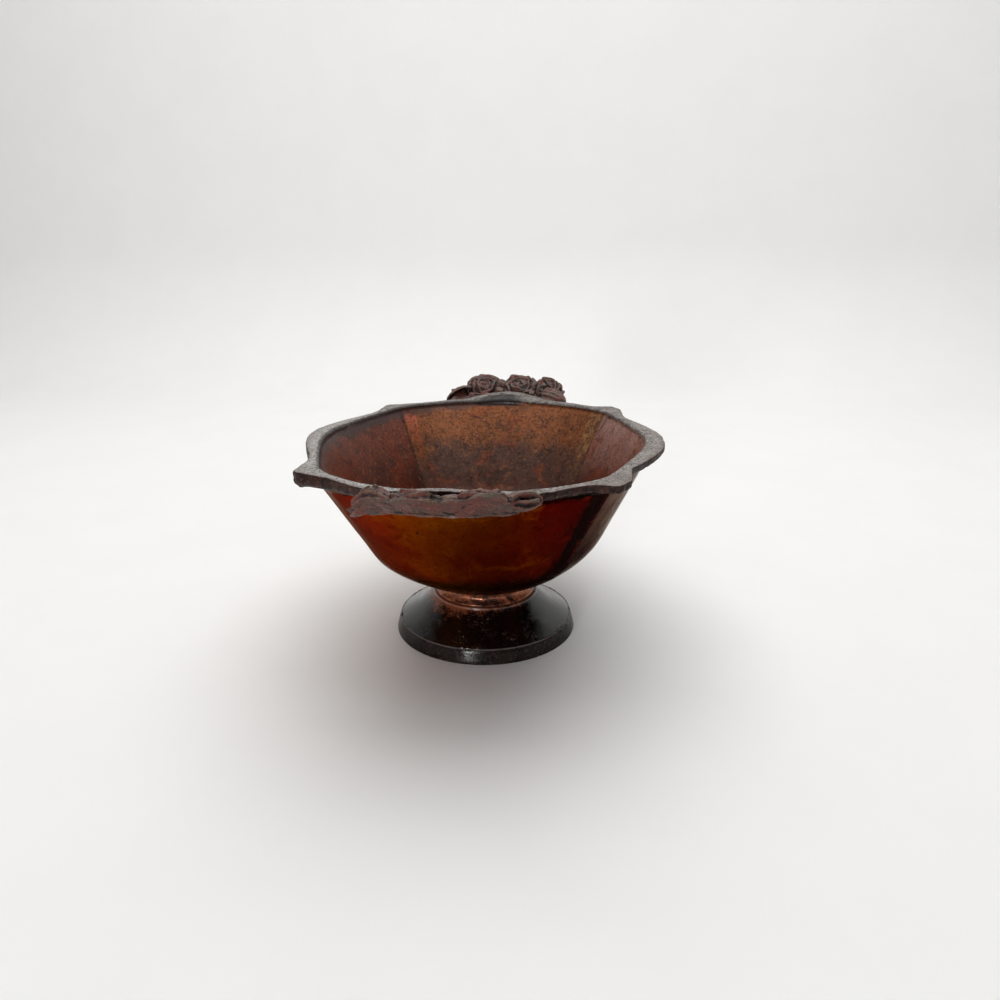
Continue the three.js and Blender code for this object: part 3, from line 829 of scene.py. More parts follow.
def leaf(cast, x, along, face, length, width, spin, lean, curl, seed):
    """A veined leaf with a toothed edge, from its stalk at (x, along) towards spin."""
    rng = random.Random(seed)
    rows, columns = LEAF_GRID
    grid = np.zeros((rows, columns, 3))
    thick = np.zeros((rows, columns))
    phase = rng.uniform(0, 6)
    for r in range(rows):
        t = r / (rows - 1)
        half = width / 2 * math.sin(math.pi * min(1, 0.06 + 0.94 * t) ** 0.78) ** 0.75
        half *= 1 + LEAF_TEETH * math.sin(t * LEAF_TEETH_TURN + phase)
        for c, u in enumerate(np.linspace(-1, 1, columns)):
            fold = LEAF_FOLD * abs(u) * half
            vein = max(0, math.cos((t * LEAF_VEINS - abs(u) * LEAF_VEIN_SLANT) * 2 * math.pi)) ** 3
            vein *= LEAF_VEIN_HEIGHT * (1 - abs(u)) ** 0.4
            rib = LEAF_RIB_HEIGHT * math.exp(-(u / LEAF_RIB_WIDTH) ** 2) * (1 - 0.6 * t)
            grid[r, c] = (t * length, u * half, fold + vein + rib - curl * (t - 0.35) ** 2 * length
                          - 0.35 * (abs(u) * half) ** 2 / max(width, 1))
            thick[r, c] = LEAF_THICKNESS - LEAF_EDGE_THINNER * abs(u) ** 3
    piece = Casting()
    piece.sheet(grid, thick)
    piece.tube([(-1.8, 0, -0.2), (0, 0, 0.1), (length * 0.45, 0, 0.25 - curl * 0.01 * length)], STALK_RADII)
    place_forms(cast, piece, (x, along, face), spin, lean, "Y")


def spine_place(cast_as, points):
    """Garland coordinates to the row frame, for the back handle."""
    size, spread, tilt = cast_as
    x, along, face = (points * size).T
    turn = x * spread / GARLAND_SPINE_RADIUS
    outward = np.column_stack([np.sin(turn), np.cos(turn), np.zeros(len(x))])
    tangent = np.column_stack([np.cos(turn), -np.sin(turn), np.zeros(len(x))])
    slope = outward * math.cos(tilt) + np.array((0, 0, math.sin(tilt)))
    front = np.cross(tangent, slope)
    centre = np.array((0, TAB_REACH + GARLAND_OVERHANG - GARLAND_SPINE_RADIUS, 0))
    origin = centre + outward * GARLAND_SPINE_RADIUS
    origin[:, 2] = RIM_Z - GARLAND_ROOT_DROP
    return origin + slope * along[:, None] + front * face[:, None]


def tab_edge_at(x):
    share = np.linspace(0, 0.5, 2001)
    edge = tab_curve(RIGHT_EAR_TIP)(share)
    return np.interp(-np.abs(x), -edge[:, 0], edge[:, 1])


PLATE_PAST_SPINE = 1.1
PLATE_FLUTES = 0.6
PLATE_FLUTE_WIDTH = 2.6


def root_plate(cast_as):
    """The plate from the tab's edge out to the garland's spine, in the row frame."""
    plate = Casting()
    rows, columns = PLATE_GRID
    reach = cast_as[0] * cast_as[1]
    span = GARLAND_ROOT_SPAN * reach
    x = np.linspace(-span, span, columns)
    spine = spine_place(cast_as, np.column_stack([x / reach, x * 0, x * 0]))
    grid = np.zeros((rows, columns, 3))
    for r in range(rows):
        s = r / (rows - 1)
        grid[r, :, 0] = x * (1 - s) + spine[:, 0] * s
        grid[r, :, 1] = (tab_edge_at(x) + FIT_GAP) * (1 - s) + (spine[:, 1] + PLATE_PAST_SPINE) * s
        grid[r, :, 2] = RIM_Z - GARLAND_ROOT_DROP
    fluted = PLATE_FLUTES * (np.abs(np.sin(x / PLATE_FLUTE_WIDTH)) - 1)
    plate.sheet(grid, GARLAND_ROOT_THICKNESS + fluted + np.zeros((rows, 1)))
    return plate


# Roses: place along the spine, height up the slope, radius, turn
ROSES = ((-12.9, 6.8, 8.5, 0.3), (5.4, 7.0, 8.3, 1.1), (18.8, 6.0, 7.5, 2.0))
BUDS = (
    # x, along, radius, spin, face, ribs, length share
    (-4.6, 8.4, 4.2, 0.2, -0.6, 5, 1.15), (-5.6, 3.0, 3.4, 0.5, 1.2, 6, 1.15),
    (12.9, 7.2, 4.0, -0.4, -0.6, 5, 1.15), (11.8, 2.2, 2.8, -0.5, 1.2, 6, 1.15),
    (-20.4, 2.0, 2.2, 0.9, 0.6, 6, 1.15),
)
LEAVES = (
    # x, along, face, length, width, spin, lean, curl
    (-27.5, 1.2, 0.2, 6.0, 4.2, 200, -4, 0.2),
    (25.0, 2.4, 0.8, 6.5, 4.6, -28, -4, 0.3),
    (-9.5, 1.4, 0.6, 7.5, 4.6, -18, -12, 0.2),
    (1.5, 0.8, 0.8, 6.5, 4.2, 200, -12, 0.2),
    (9.0, 0.8, 0.8, 6.5, 4.4, -15, -12, 0.2),
    (17.5, 0.6, 0.8, 6.5, 4.4, 190, -12, 0.2),
)
BACK_LEAVES = (
    # x, along, length, width, spin: on the side that faces away from the bowl
    (-26.5, 2.7, 9, 5, 20), (-17.5, 2.7, 10, 6, 62), (-9.5, 2.9, 9, 5.5, 112),
    (-1.5, 2.5, 10, 6, 48), (6.5, 2.5, 11, 6, 88), (12.5, 2.7, 8, 5, 40),
    (21.5, 2.5, 9, 5.5, 120), (27.0, 2.7, 8, 4.5, 160),
)
BACK_LEAF_FACE = -2.0
PLATE_LEAVES = (
    # x, length, width, spin
    (-20.5, 6.6, 5.0, 62), (-13.5, 6.2, 5.0, 100), (-7.0, 5.8, 4.8, 70), (-0.5, 5.4, 4.8, 96),
    (6.0, 5.6, 4.8, 84), (12.5, 6.0, 5.0, 112), (19.5, 6.4, 5.0, 104),
)
PLATE_LEAF_RISE = GARLAND_ROOT_THICKNESS / 2 - 0.1
# Curled leaves at the ends: tip, mouth, height, depth, how far closed, ribs
BACK_CURLS = ((-34.6, -20.5, 6.6, 4.6, 0.85, 13), (32.5, 19.5, 6.2, 4.4, 2.2, 15))
FRONT_CURLS = ((30.5, 17.5, 5.0, 3.0, 1.6, 6),)
FRONT_POD = (-25.4, 4.6)
# The vine's two strands: phase, height up the slope, thickness, face
VINE = ((0, 0.9, 1.0, -0.6), (2.6, 0.7, 1.0, 0.9))
VINE_HALF = 28
VINE_STEPS = 70
# The back of the garland: its ends along the spine, face, swell behind each rose, thickness
MASS_SPAN = (-30, 29)
MASS_FACE = -0.9
MASS_SWELL = 0.7
MASS_WAVES = 0.5
MASS_THICKNESS = 2.0
MASS_THINNER = 0.6
# Its least height and half width, and how the outline follows each form: share of its radius,
# share of its height, how far sunk
MASS_ARCH = (4.2, 30.5)
MASS_DOMES = ((ROSES, 0.92, 0.9, 0.6), (BUDS, 0.9, 1, 0.8))
# The near garland's body stands a little nearer to the bowl, and its end on the left of the
# photograph droops: between these places along the spine it gets shorter, flatter and lower
BACK_FACE = -3.1
NEAR_BACK_FACE = -2.2
DROOP_SPAN = (17, 31)
DROOP_SHORTER = 2.6
DROOP_FLATTER = 0.7
DROOP_LOWER = 5
GARLAND_VOXEL = 0.25
GARLAND_FINE = 0.13
GARLAND_WAVES = 0.16


def plate_leaves(cast, tilt, seed):
    """Leaves that lie on the root plate, from the spine towards the bowl."""
    for i, (x, length, width, spin) in enumerate(PLATE_LEAVES):
        low = Casting()
        leaf(low, 0, 0, 0, length, width, math.radians(spin), 0, 0.1, seed * 30 + i)
        side, inward, above = low.points[0].T
        above = above + PLATE_LEAF_RISE
        cast.add(np.column_stack([side + x, above * math.sin(tilt) - inward * math.cos(tilt),
                                  inward * math.sin(tilt) + above * math.cos(tilt)]), low.faces)


def scallop(x):
    """Height of the garland's mass up its slope, at each place along the spine."""
    least, half = MASS_ARCH
    top = least * np.sqrt(np.clip(1 - (x / half) ** 2, 0, 1))
    for forms, share, height, sunk in MASS_DOMES:
        for centre, along, radius, *_ in forms:
            dome = np.sqrt(np.clip((radius * share) ** 2 - (x - centre) ** 2, 0, None))
            top = np.maximum(top, along + height * dome - sunk)
    return np.convolve(np.pad(top, 2, mode="edge"), np.ones(5) / 5, mode="valid")


def back_mass(cast):
    """The continuous back of the casting, with a low swell behind each rose."""
    rows, columns = MASS_GRID
    x = np.linspace(*MASS_SPAN, columns)
    top = scallop(x)
    grid = np.zeros((rows, columns, 3))
    thick = np.zeros((rows, columns))
    for r in range(rows):
        s = r / (rows - 1)
        along = 0.2 + (top - 0.2) * s
        swell = np.zeros(columns)
        for centre, height, radius, _ in ROSES:
            away = ((x - centre) ** 2 + (along - height + 1.5) ** 2) / radius ** 2
            swell = np.maximum(swell, np.sqrt(np.clip(1 - away, 0, None)))
        grid[r, :, 0], grid[r, :, 1] = x, along
        grid[r, :, 2] = MASS_FACE - MASS_SWELL * swell
        thick[r] = MASS_THICKNESS - MASS_THINNER * s
    grid[..., 2] += MASS_WAVES * grain(grid.reshape(-1, 3), *GARLAND_BACK_GRAIN).reshape(rows, columns)
    cast.sheet(grid, thick)


def garland(name, cast_as, material, seed, front=False):
    """One whole garland with its root plate, in the row frame as the back handle."""
    cast = Casting()
    back_mass(cast)
    vine_x = np.linspace(-VINE_HALF, VINE_HALF, VINE_STEPS)
    for phase, lift, thick, face in VINE:
        path = np.column_stack([vine_x, lift + 0.5 * np.sin(vine_x * 0.4 + phase),
                                face + 0.5 * np.cos(vine_x * 0.4 + phase)])
        cast.tube(path, thick * (1.05 - 0.4 * (vine_x / VINE_HALF) ** 2))
    for i, (x, along, radius, turn) in enumerate(ROSES):
        rose(cast, x, along, radius, turn, seed + i, NEAR_ROSE_WIDTH if front else 1)
    for i, (x, along, radius, spin, face, ribs, long) in enumerate(BUDS):
        bud(cast, x, along, radius, spin, seed + 5 + i, face, ribs, long)
    if front:
        open_pod(cast, *FRONT_POD)
    for curl in FRONT_CURLS if front else BACK_CURLS:
        curled_leaf(cast, *curl)
    for i, (x, along, face, length, width, spin, lean, curl) in enumerate(LEAVES):
        leaf(cast, x, along, face, length, width, math.radians(spin), math.radians(lean), curl,
             seed * 10 + i)
    for i, (x, along, length, width, spin) in enumerate(BACK_LEAVES):
        back = Casting()
        leaf(back, 0, 0, 0, length, width, math.radians(spin), 0, 0.12, seed * 20 + i)
        flipped = back.points[0] * (1, 1, -1) + (x, along, BACK_LEAF_FACE)
        cast.add(flipped, [f[::-1] for f in back.faces])
    plate_leaves(cast, cast_as[2], seed)
    points = np.vstack(cast.points)
    if front:
        end = eased(points[:, 0], *DROOP_SPAN)
        points[:, 0] -= DROOP_SHORTER * end
        points[:, 2] = ((points[:, 2] - BACK_FACE) * (1 - DROOP_FLATTER * end)
                        + NEAR_BACK_FACE - DROOP_LOWER * end)
    cast.points = [spine_place(cast_as, points)]
    plate = root_plate(cast_as)
    cast.add(plate.points[0], plate.faces)
    made = mesh_object(name, np.vstack(cast.points), cast.faces, [material])
    fuse(made)
    return made


def fuse(made):
    """Joins the forms of one casting into a single skin, uneven as it left the mould."""
    bm = bmesh.new()
    bm.from_mesh(made.data)
    bmesh.ops.recalc_face_normals(bm, faces=bm.faces)
    bm.to_mesh(made.data)
    bm.free()
    remesh = made.modifiers.new("remesh", "REMESH")
    remesh.mode = "VOXEL"
    remesh.voxel_size = GARLAND_VOXEL * MM
    remesh.use_smooth_shade = True
    smooth = made.modifiers.new("smooth", "SMOOTH")
    smooth.factor = 0.5
    smooth.iterations = 2
    apply_modifiers(made)
    co, normals = vertex_data(made.data)
    points = co / MM
    lift = (GARLAND_FINE * grain(points, *GARLAND_FINE_GRAIN)
            + GARLAND_WAVES * grain(points, *GARLAND_WAVE_GRAIN) - GARLAND_WAVES)
    made.data.vertices.foreach_set("co", (co + normals * (lift * MM)[:, None]).ravel())
    made.data.update()


def vertex_data(mesh):
    """The places and normals of a mesh's vertices, in metres."""
    co, normals = np.zeros((2, len(mesh.vertices) * 3))
    mesh.vertices.foreach_get("co", co)
    mesh.vertex_normals.foreach_get("vector", normals)
    return co.reshape(-1, 3), normals.reshape(-1, 3)


def apply_modifiers(made):
    bpy.context.view_layer.update()
    depsgraph = bpy.context.evaluated_depsgraph_get()
    mesh = bpy.data.meshes.new_from_object(made.evaluated_get(depsgraph))
    mesh.name = made.name
    made.modifiers.clear()
    made.data = mesh


RELIEF_SHARE = 0.7


def relief(made, passes):
    """Keeps on each vertex how far it stands proud of its smoothed surroundings, in millimetres."""
    mesh = made.data
    count = len(mesh.vertices)
    co, normals = vertex_data(mesh)
    edges = np.zeros(len(mesh.edges) * 2, int)
    mesh.edges.foreach_get("vertices", edges)
    a, b = edges.reshape(-1, 2).T
    near = np.bincount(a, minlength=count) + np.bincount(b, minlength=count)
    soft = co.copy()
    for _ in range(passes):
        total = np.zeros_like(soft)
        for k in range(3):
            total[:, k] = np.bincount(a, soft[b, k], count) + np.bincount(b, soft[a, k], count)
        soft = soft * (1 - RELIEF_SHARE) + total / np.maximum(near, 1)[:, None] * RELIEF_SHARE
    proud = ((co - soft) * normals).sum(1) / MM
    keep(mesh, "relief", proud)


# Materials
def rgb(red, green, blue):
    """A screen colour from 0 to 255 as linear RGBA."""
    def linear(v):
        v /= 255
        return v / 12.92 if v <= 0.04045 else ((v + 0.055) / 1.055) ** 2.4

    return (linear(red), linear(green), linear(blue), 1)


class Finish:
    """One node material round a single Principled shader, painted in layers. Sizes of noise are
    in millimetres; places along the axes x, y and z are in metres."""

    def __init__(self, name, **constants):
        self.material = bpy.data.materials.new(name)
        self.material.use_nodes = True
        self.tree = self.material.node_tree
        self.tree.nodes.clear()
        self.shader = self.node("ShaderNodeBsdfPrincipled")
        out = self.node("ShaderNodeOutputMaterial")
        self.tree.links.new(self.shader.outputs[0], out.inputs[0])
        self.place = self.node("ShaderNodeTexCoord").outputs["Object"]
        self.x, self.y, self.z = self.node("ShaderNodeSeparateXYZ", {"Vector": self.place}).outputs
        self.colour = None
        for socket, value in constants.items():
            self.shader.inputs[socket.replace("_", " ")].default_value = value

    def put(self, value, socket):
        if isinstance(value, bpy.types.NodeSocket):
            self.tree.links.new(value, socket)
        else:
            socket.default_value = value

    def node(self, kind, inputs=(), **settings):
        made = self.tree.nodes.new(kind)
        for key, value in settings.items():
            setattr(made, key, value)
        for key, value in dict(inputs).items():
            self.put(value, made.inputs[key])
        return made

    def noise(self, size, detail=3, rough=0.55, twist=0.0, place=None):
        """Noise from 0 to 1 with features of that size."""
        return self.node("ShaderNodeTexNoise", {
            "Vector": place or self.place, "Scale": 1 / (size * MM), "Detail": detail,
            "Roughness": rough, "Distortion": twist}).outputs["Fac"]

    def stretched(self, scale):
        return self.node("ShaderNodeMapping", {"Vector": self.place, "Scale": scale}).outputs["Vector"]

    def attribute(self, name):
        return self.node("ShaderNodeAttribute", attribute_name=name).outputs["Fac"]

    def math(self, kind, *values):
        """The values joined one after the other."""
        total = values[0]
        for value in values[1:] or (0.0,):
            total = self.node("ShaderNodeMath", {0: total, 1: value}, operation=kind).outputs[0]
        return total

    def times(self, *values):
        return self.math("MULTIPLY", *values)

    def ragged(self, value, amount, *noise):
        """A value shifted by noise, so that an edge drawn from it is uneven."""
        return self.math("ADD", value, self.times(self.noise(*noise), amount))

    def step(self, value, low, high, out_low=0.0, out_high=1.0):
        """A soft step as the value goes from low to high."""
        return self.node("ShaderNodeMapRange", {
            "Value": value, "From Min": low, "From Max": high, "To Min": out_low, "To Max": out_high},
            interpolation_type="SMOOTHSTEP").outputs["Result"]

    def spots(self, low, high, *noise):
        """1 where noise is above high, 0 where it is below low."""
        return self.step(self.noise(*noise), low, high)

    def mix(self, share, a, b):
        made = self.node("ShaderNodeMix", data_type="RGBA")
        for socket, value in ((made.inputs[0], share), (made.inputs[6], a), (made.inputs[7], b)):
            self.put(value, socket)
        return made.outputs[2]

    def paint(self, where, colour, strength=None):
        """Lays a colour over what is there, fully where where is 1, or only at some strength."""
        self.colour = self.mix(where if strength is None else self.times(where, strength),
                               self.colour, colour)

    def done(self, roughness, *bumps):
        """bumps are (height, depth in millimetres)."""
        self.put(self.colour, self.shader.inputs["Base Color"])
        self.put(roughness, self.shader.inputs["Roughness"])
        inputs = {}
        for height, depth in bumps:
            inputs.update({"Height": height, "Strength": 1.0, "Distance": depth * MM})
            inputs["Normal"] = self.node("ShaderNodeBump", inputs).outputs["Normal"]
        if bumps:
            self.put(inputs["Normal"], self.shader.inputs["Normal"])
        return self.material


def outside_patina():
    f = Finish("bowl_outside", Metallic=0.94, Specular_IOR_Level=0.05, Specular_Tint=rgb(122, 92, 58))
    # Painted light: every tone has a lighter left and a darker right, as if lit from the left
    side = f.step(f.ragged(f.x, 0.06, 34, 2), -0.03, 0.08)

    def by_lit_side(left, right):
        return f.mix(side, rgb(*left), rgb(*right))

    f.colour = by_lit_side((166, 94, 8), (88, 25, 6))
    gold = f.spots(0.5, 0.68, 13, 4, 0.62, 0.8)
    f.paint(gold, rgb(172, 92, 14), 0.5)
    cloud = f.spots(0.44, 0.68, 19, 4, 0.6, 0.6)
    f.paint(cloud, by_lit_side((134, 64, 6), (90, 22, 5)), 0.6)
    smudge = f.spots(0.54, 0.68, 6, 5, 0.65, 1.2, f.stretched((1, 1, 0.6)))
    f.paint(smudge, by_lit_side((84, 36, 6), (40, 11, 6)), 0.5)
    fine = f.spots(0.44, 0.66, 1.3, 3, 0.65)
    f.paint(fine, by_lit_side((96, 42, 6), (50, 13, 5)), 0.35)
    # Painted shade: darker towards the bottom, where the bowl faces the shaded floor
    low = f.step(f.ragged(f.math("ADD", f.z, f.times(f.x, -0.45)), 0.02, 12, 4), 0.062, 0.03)
    f.paint(low, rgb(52, 10, 3), 0.75)
    # Painted shade on the right-hand corner facets, and a painted reflection of the bright wall on the
    # right-hand side panels, stronger higher up
    rightward = f.step(f.x, 0.0, 0.03)
    f.paint(f.times(f.attribute("facet"), rightward), rgb(52, 24, 14), 0.7)
    side_panel_reflection = f.times(f.attribute("panel"), rightward, f.step(f.z, 0.03, 0.09, 0.15, 0.42))
    f.paint(side_panel_reflection, rgb(112, 84, 64))
    specks = f.times(f.spots(0.62, 0.68, 1.5, 3, 0.7), f.spots(0.46, 0.56, 9, 2))
    f.paint(specks, rgb(22, 8, 6))
    # Dark band under the rim: partly the patina's own dark colour, partly painted shadow of the rim
    under_rim_shadow_and_patina = f.step(f.ragged(f.z, 0.006, 3, 4, 0.7), 0.083, 0.0862)
    f.paint(under_rim_shadow_and_patina, rgb(28, 11, 9))
    return f.done(f.step(f.noise(7, 4), 0.3, 0.75, 0.17, 0.3),
                  (f.noise(6, 3), 0.05), (f.noise(0.8, 2), 0.02), (specks, -0.1))


def inside_patina():
    f = Finish("bowl_inside", Metallic=0.35, Specular_IOR_Level=0.32)
    panel, facet, crease = (f.attribute(n) for n in ("panel", "facet", "crease"))
    height = f.ragged(f.z, 0.03, 17, 4, 0.6, 0.6)
    rightward = f.step(f.x, -0.02, 0.03)
    end_wall = f.mix(f.step(height, 0.078, 0.09), rgb(92, 62, 50), rgb(140, 82, 46))
    # The right-hand side panel's pale grey-pink is a painted sheen
    side_wall = f.mix(rightward, rgb(116, 60, 44), rgb(160, 115, 103))
    side_wall = f.mix(f.times(f.step(height, 0.084, 0.066), 0.95), side_wall, rgb(84, 28, 12))
    f.colour = f.mix(panel, end_wall, side_wall)
    warm = f.spots(0.52, 0.7, 11, 4, 0.6, 0.6)
    f.paint(warm, rgb(156, 68, 28), 0.5)
    smudge = f.spots(0.5, 0.66, 12, 5, 0.65, 1.0)
    f.paint(smudge, rgb(62, 42, 36), 0.55)

    # Bands on the corner facets, fuller higher up: partly rubbed patina, partly painted light that the
    # facets catch; pinkish on the left, ochre with drips on the right
    bright = f.step(f.ragged(f.z, 0.03, 6, 4), 0.067, 0.092, 0.05, 1.0)
    patchy = f.step(f.noise(4, 4, 0.65), 0.3, 0.6, 0.5, 1.0)
    band_left = f.mix(f.step(f.z, 0.068, 0.084), rgb(160, 88, 46), rgb(196, 106, 82))
    drips = f.spots(0.4, 0.56, 2.6, 4, 0.7, 0.4, f.stretched((1, 1, 0.22)))
    band_right = f.mix(f.times(drips, 0.85), rgb(172, 128, 74), rgb(108, 66, 45))
    f.paint(f.times(facet, bright, patchy), f.mix(rightward, band_left, band_right))
    # Painted shade along the creases beside the facets, stronger on the left
    f.paint(f.times(crease, patchy, f.step(rightward, 0.0, 1.0, 0.9, 0.35)), rgb(48, 30, 25))

    blots = f.spots(0.55, 0.63, 5.5, 5, 0.7, 0.8)
    f.paint(blots, rgb(56, 36, 31), 0.5)
    near_rim = f.step(f.ragged(f.z, 0.016, 9, 4, 0.7, 0.6), 0.088, 0.093)
    moss = f.times(near_rim, panel, f.step(rightward, 0.5, 0.0))
    f.paint(moss, rgb(66, 62, 54), 0.75)
    ember = f.times(f.spots(0.44, 0.6, 15, 3, 0.6), panel, f.step(f.z, 0.084, 0.06))
    f.paint(ember, rgb(168, 62, 24), 0.5)
    deep = f.times(f.step(f.z, 0.08, 0.056), panel)
    f.paint(deep, rgb(52, 20, 10), 0.5)
    sheen = f.spots(0.56, 0.66, 4.6, 4, 0.65, 0.5)
    f.paint(sheen, rgb(176, 110, 66), 0.3)
    grit = f.noise(1.3, 3, 0.75)
    gritty = f.step(height, 0.06, 0.092, 0.3, 0.64)
    f.paint(f.step(grit, 0.5, 0.62), rgb(46, 29, 24), gritty)
    f.paint(f.times(f.step(grit, 0.44, 0.33), gritty), rgb(176, 118, 76), 0.75)
    pits = f.times(f.spots(0.61, 0.66, 2.2, 4, 0.7, 0.6), f.spots(0.44, 0.56, 10, 3))
    f.paint(pits, rgb(28, 20, 18), 0.9)

    # A dark margin along the lip, wider on the left, is painted shade under the lip; and a dark oval below
    # the far tab
    edge = f.ragged(f.math("ADD", f.z, f.step(f.x, 0.01, -0.05, 0.0, 0.003)), 0.007, 8, 5, 0.7)
    shade_under_lip = f.times(f.step(edge, 0.0872, 0.0905), f.step(f.x, 0.015, -0.004, 0.25, 1.0))
    f.paint(shade_under_lip, rgb(78, 60, 58), 0.85)
    middle = f.step(f.math("ABSOLUTE", f.math("ADD", f.x, 0.004)), 0.017, 0.009)
    under_tab = f.step(f.math("ADD", f.z, f.times(middle, 0.0024)), 0.0862, 0.0872)
    f.paint(f.times(under_tab, middle, f.step(f.y, 0.0, 0.01)), rgb(44, 38, 36), 0.9)
    on_floor = f.step(f.z, 0.034, 0.0265, 0.0, 0.24)
    return f.done(f.math("ADD", f.step(f.noise(3, 3), 0.3, 0.7, 0.26, 0.42), on_floor),
                  (f.noise(7, 3), 0.06), (grit, 0.04), (pits, -0.15))


def rim_patina():
    f = Finish("bowl_rim", Metallic=0.15, Specular_IOR_Level=0.22)
    brim = f.attribute("brim")
    # The rim's light grey is partly its own colour and partly a painted reflection of the bright
    # surroundings
    f.colour = f.mix(f.spots(0.35, 0.65, 5, 4, 0.65), rgb(166, 160, 155), rgb(122, 113, 107))
    f.paint(f.spots(0.54, 0.68, 9, 3), rgb(132, 104, 92), 0.5)
    # Painted light: lighter at the near left, where the light falls
    lit_near_left = f.step(f.math("ADD", f.x, f.times(f.y, 0.4)), -0.02, -0.06, 0, 0.4)
    f.paint(lit_near_left, rgb(196, 193, 189))
    far = f.step(f.y, 0.02, 0.07)
    f.paint(far, rgb(84, 76, 72), 0.3)
    grit = f.noise(1.1, 3, 0.75)
    f.paint(f.step(grit, 0.52, 0.6), rgb(58, 50, 46), 0.65)
    specks = f.spots(0.56, 0.6, 1.0, 2, 0.7)
    f.paint(specks, rgb(34, 29, 28), f.step(f.ragged(brim, 0.8, 6, 3), 0.4, 1.2, 0.5, 1.0))
    outward = f.step(f.ragged(brim, 0.9, 5, 4, 0.7), 0.95, 0.4)
    f.paint(outward, rgb(98, 82, 74), 0.45)
    # Painted shade on the inner turn of the lip, stronger on the left
    lip = f.step(f.ragged(brim, 0.3, 2, 3), 1.0, 1.3)
    f.paint(lip, rgb(50, 41, 38), f.step(f.x, 0.014, -0.004, 0.2, 0.8))

    # The far tab's hollow, dark on both sides of its middle
    sides = f.math("SUBTRACT", 1.0, f.step(f.math("ABSOLUTE", f.math("ADD", f.x, 0.004)), 0.007, 0.015))
    f.paint(f.times(sides, f.step(f.y, 0.0, 0.01), f.step(brim, 0.42, 0.56)), rgb(40, 36, 35), 0.9)

    face = f.mix(f.spots(0.4, 0.62, 4, 4, 0.7), rgb(54, 26, 18), rgb(22, 10, 8))
    face = f.mix(f.times(f.step(grit, 0.44, 0.3), 0.45), face, rgb(128, 112, 104))
    f.paint(f.step(f.ragged(brim, 0.5, 2.2, 3, 0.6), 0.05, -0.3), face)
    return f.done(f.step(f.noise(2, 3), 0.3, 0.7, 0.45, 0.65),
                  (f.noise(2.6, 4, 0.6), 0.3), (grit, 0.12), (specks, -0.08))


def foot_patina():
    f = Finish("foot_black", Specular_IOR_Level=0.6)
    left = f.step(f.x, 0.012, -0.02, -0.001, 0.0022)
    worn = f.step(f.ragged(f.math("ADD", f.z, left), 0.011, 4.5, 5, 0.75), 0.0206, 0.0234)
    f.colour = f.mix(f.spots(0.4, 0.7, 9, 4), rgb(4, 3, 3), rgb(10, 7, 6))
    f.paint(worn, rgb(126, 66, 40), 0.8)
    dust = f.times(f.spots(0.6, 0.66, 0.55, 3, 0.8), f.step(f.noise(8, 3), 0.44, 0.6, 0.1))
    f.paint(dust, rgb(150, 112, 96), 0.6)
    gloss = f.step(f.noise(5, 3), 0.3, 0.7, 0.12, 0.2)
    return f.done(f.math("ADD", gloss, f.times(worn, 0.15)),
                  (f.noise(7, 3), 0.06), (f.noise(0.7, 2), 0.025), (dust, -0.06))


def lip_patina():
    f = Finish("foot_lip", Specular_IOR_Level=0.16)
    f.colour = f.mix(f.spots(0.36, 0.64, 5, 4, 0.65), rgb(30, 20, 16), rgb(14, 9, 8))
    chips = f.spots(0.58, 0.66, 0.8, 3, 0.75)
    f.paint(chips, rgb(110, 84, 74), 0.5)
    # Painted highlight: a light line along the lip's top edge
    from_highlight_edge = f.math("ABSOLUTE", f.math("SUBTRACT", f.z, FOOT_LIP_HEIGHT * MM))
    f.paint(f.math("SUBTRACT", 1.0, f.step(from_highlight_edge, 0.0002, 0.0006)), rgb(112, 100, 94), 0.6)
    return f.done(f.step(f.noise(1.2, 3, 0.7), 0.35, 0.65, 0.1, 0.28),
                  (f.noise(4, 3), 0.05), (f.noise(0.7, 3), 0.05), (chips, -0.06))


def neck_patina():
    f = Finish("neck_copper", Metallic=0.6, Specular_IOR_Level=0.5)
    f.colour = f.mix(f.spots(0.4, 0.66, 4.5, 5, 0.7, 0.6), rgb(188, 116, 80), rgb(104, 60, 46))
    # Dark patches, denser across the middle that faces the camera: partly patina, partly a painted dark
    # reflection
    from_middle = f.math("ABSOLUTE", f.math("SUBTRACT", f.x, 0.002))
    patches = f.math("ADD", f.noise(4.2, 4, 0.7), f.step(from_middle, 0.014, 0.005, -0.06, 0.1))
    f.paint(f.step(patches, 0.5, 0.62), rgb(34, 24, 23), 0.85)
    pink = f.spots(0.6, 0.68, 0.7, 2, 0.8)
    f.paint(pink, rgb(206, 150, 128), 0.7)
    return f.done(f.step(f.noise(2, 3), 0.3, 0.7, 0.2, 0.4), (f.noise(2.4, 4), 0.2), (f.noise(0.6, 2), 0.05))


def garland_patina():
    f = Finish("garland_bronze", Metallic=0.3, Specular_IOR_Level=0.45)
    proud = f.ragged(f.attribute("relief"), 0.2, 0.9, 3)
    f.colour = f.mix(f.spots(0.4, 0.66, 5, 4, 0.6), rgb(96, 50, 42), rgb(72, 54, 47))
    ridge = f.step(proud, 0.15, 0.24)
    f.paint(ridge, rgb(98, 88, 74), 0.55)
    cavity = f.step(proud, 0.06, -0.06)
    f.paint(cavity, rgb(10, 6, 6), 0.96)
    specks = f.spots(0.6, 0.68, 0.6, 2, 0.8)
    f.paint(specks, rgb(22, 15, 13), 0.6)
    return f.done(f.step(f.noise(1.6, 3), 0.3, 0.7, 0.34, 0.56),
                  (f.noise(1.2, 3), 0.14), (f.noise(0.45, 2), 0.06))


def steel():
    f = Finish("fastener_steel", Metallic=1.0)
    f.colour = f.mix(f.noise(1.5, 3), rgb(150, 148, 144), rgb(112, 108, 104))
    return f.done(f.step(f.noise(0.8, 2), 0.3, 0.7, 0.3, 0.5), (f.noise(0.6, 2), 0.03))


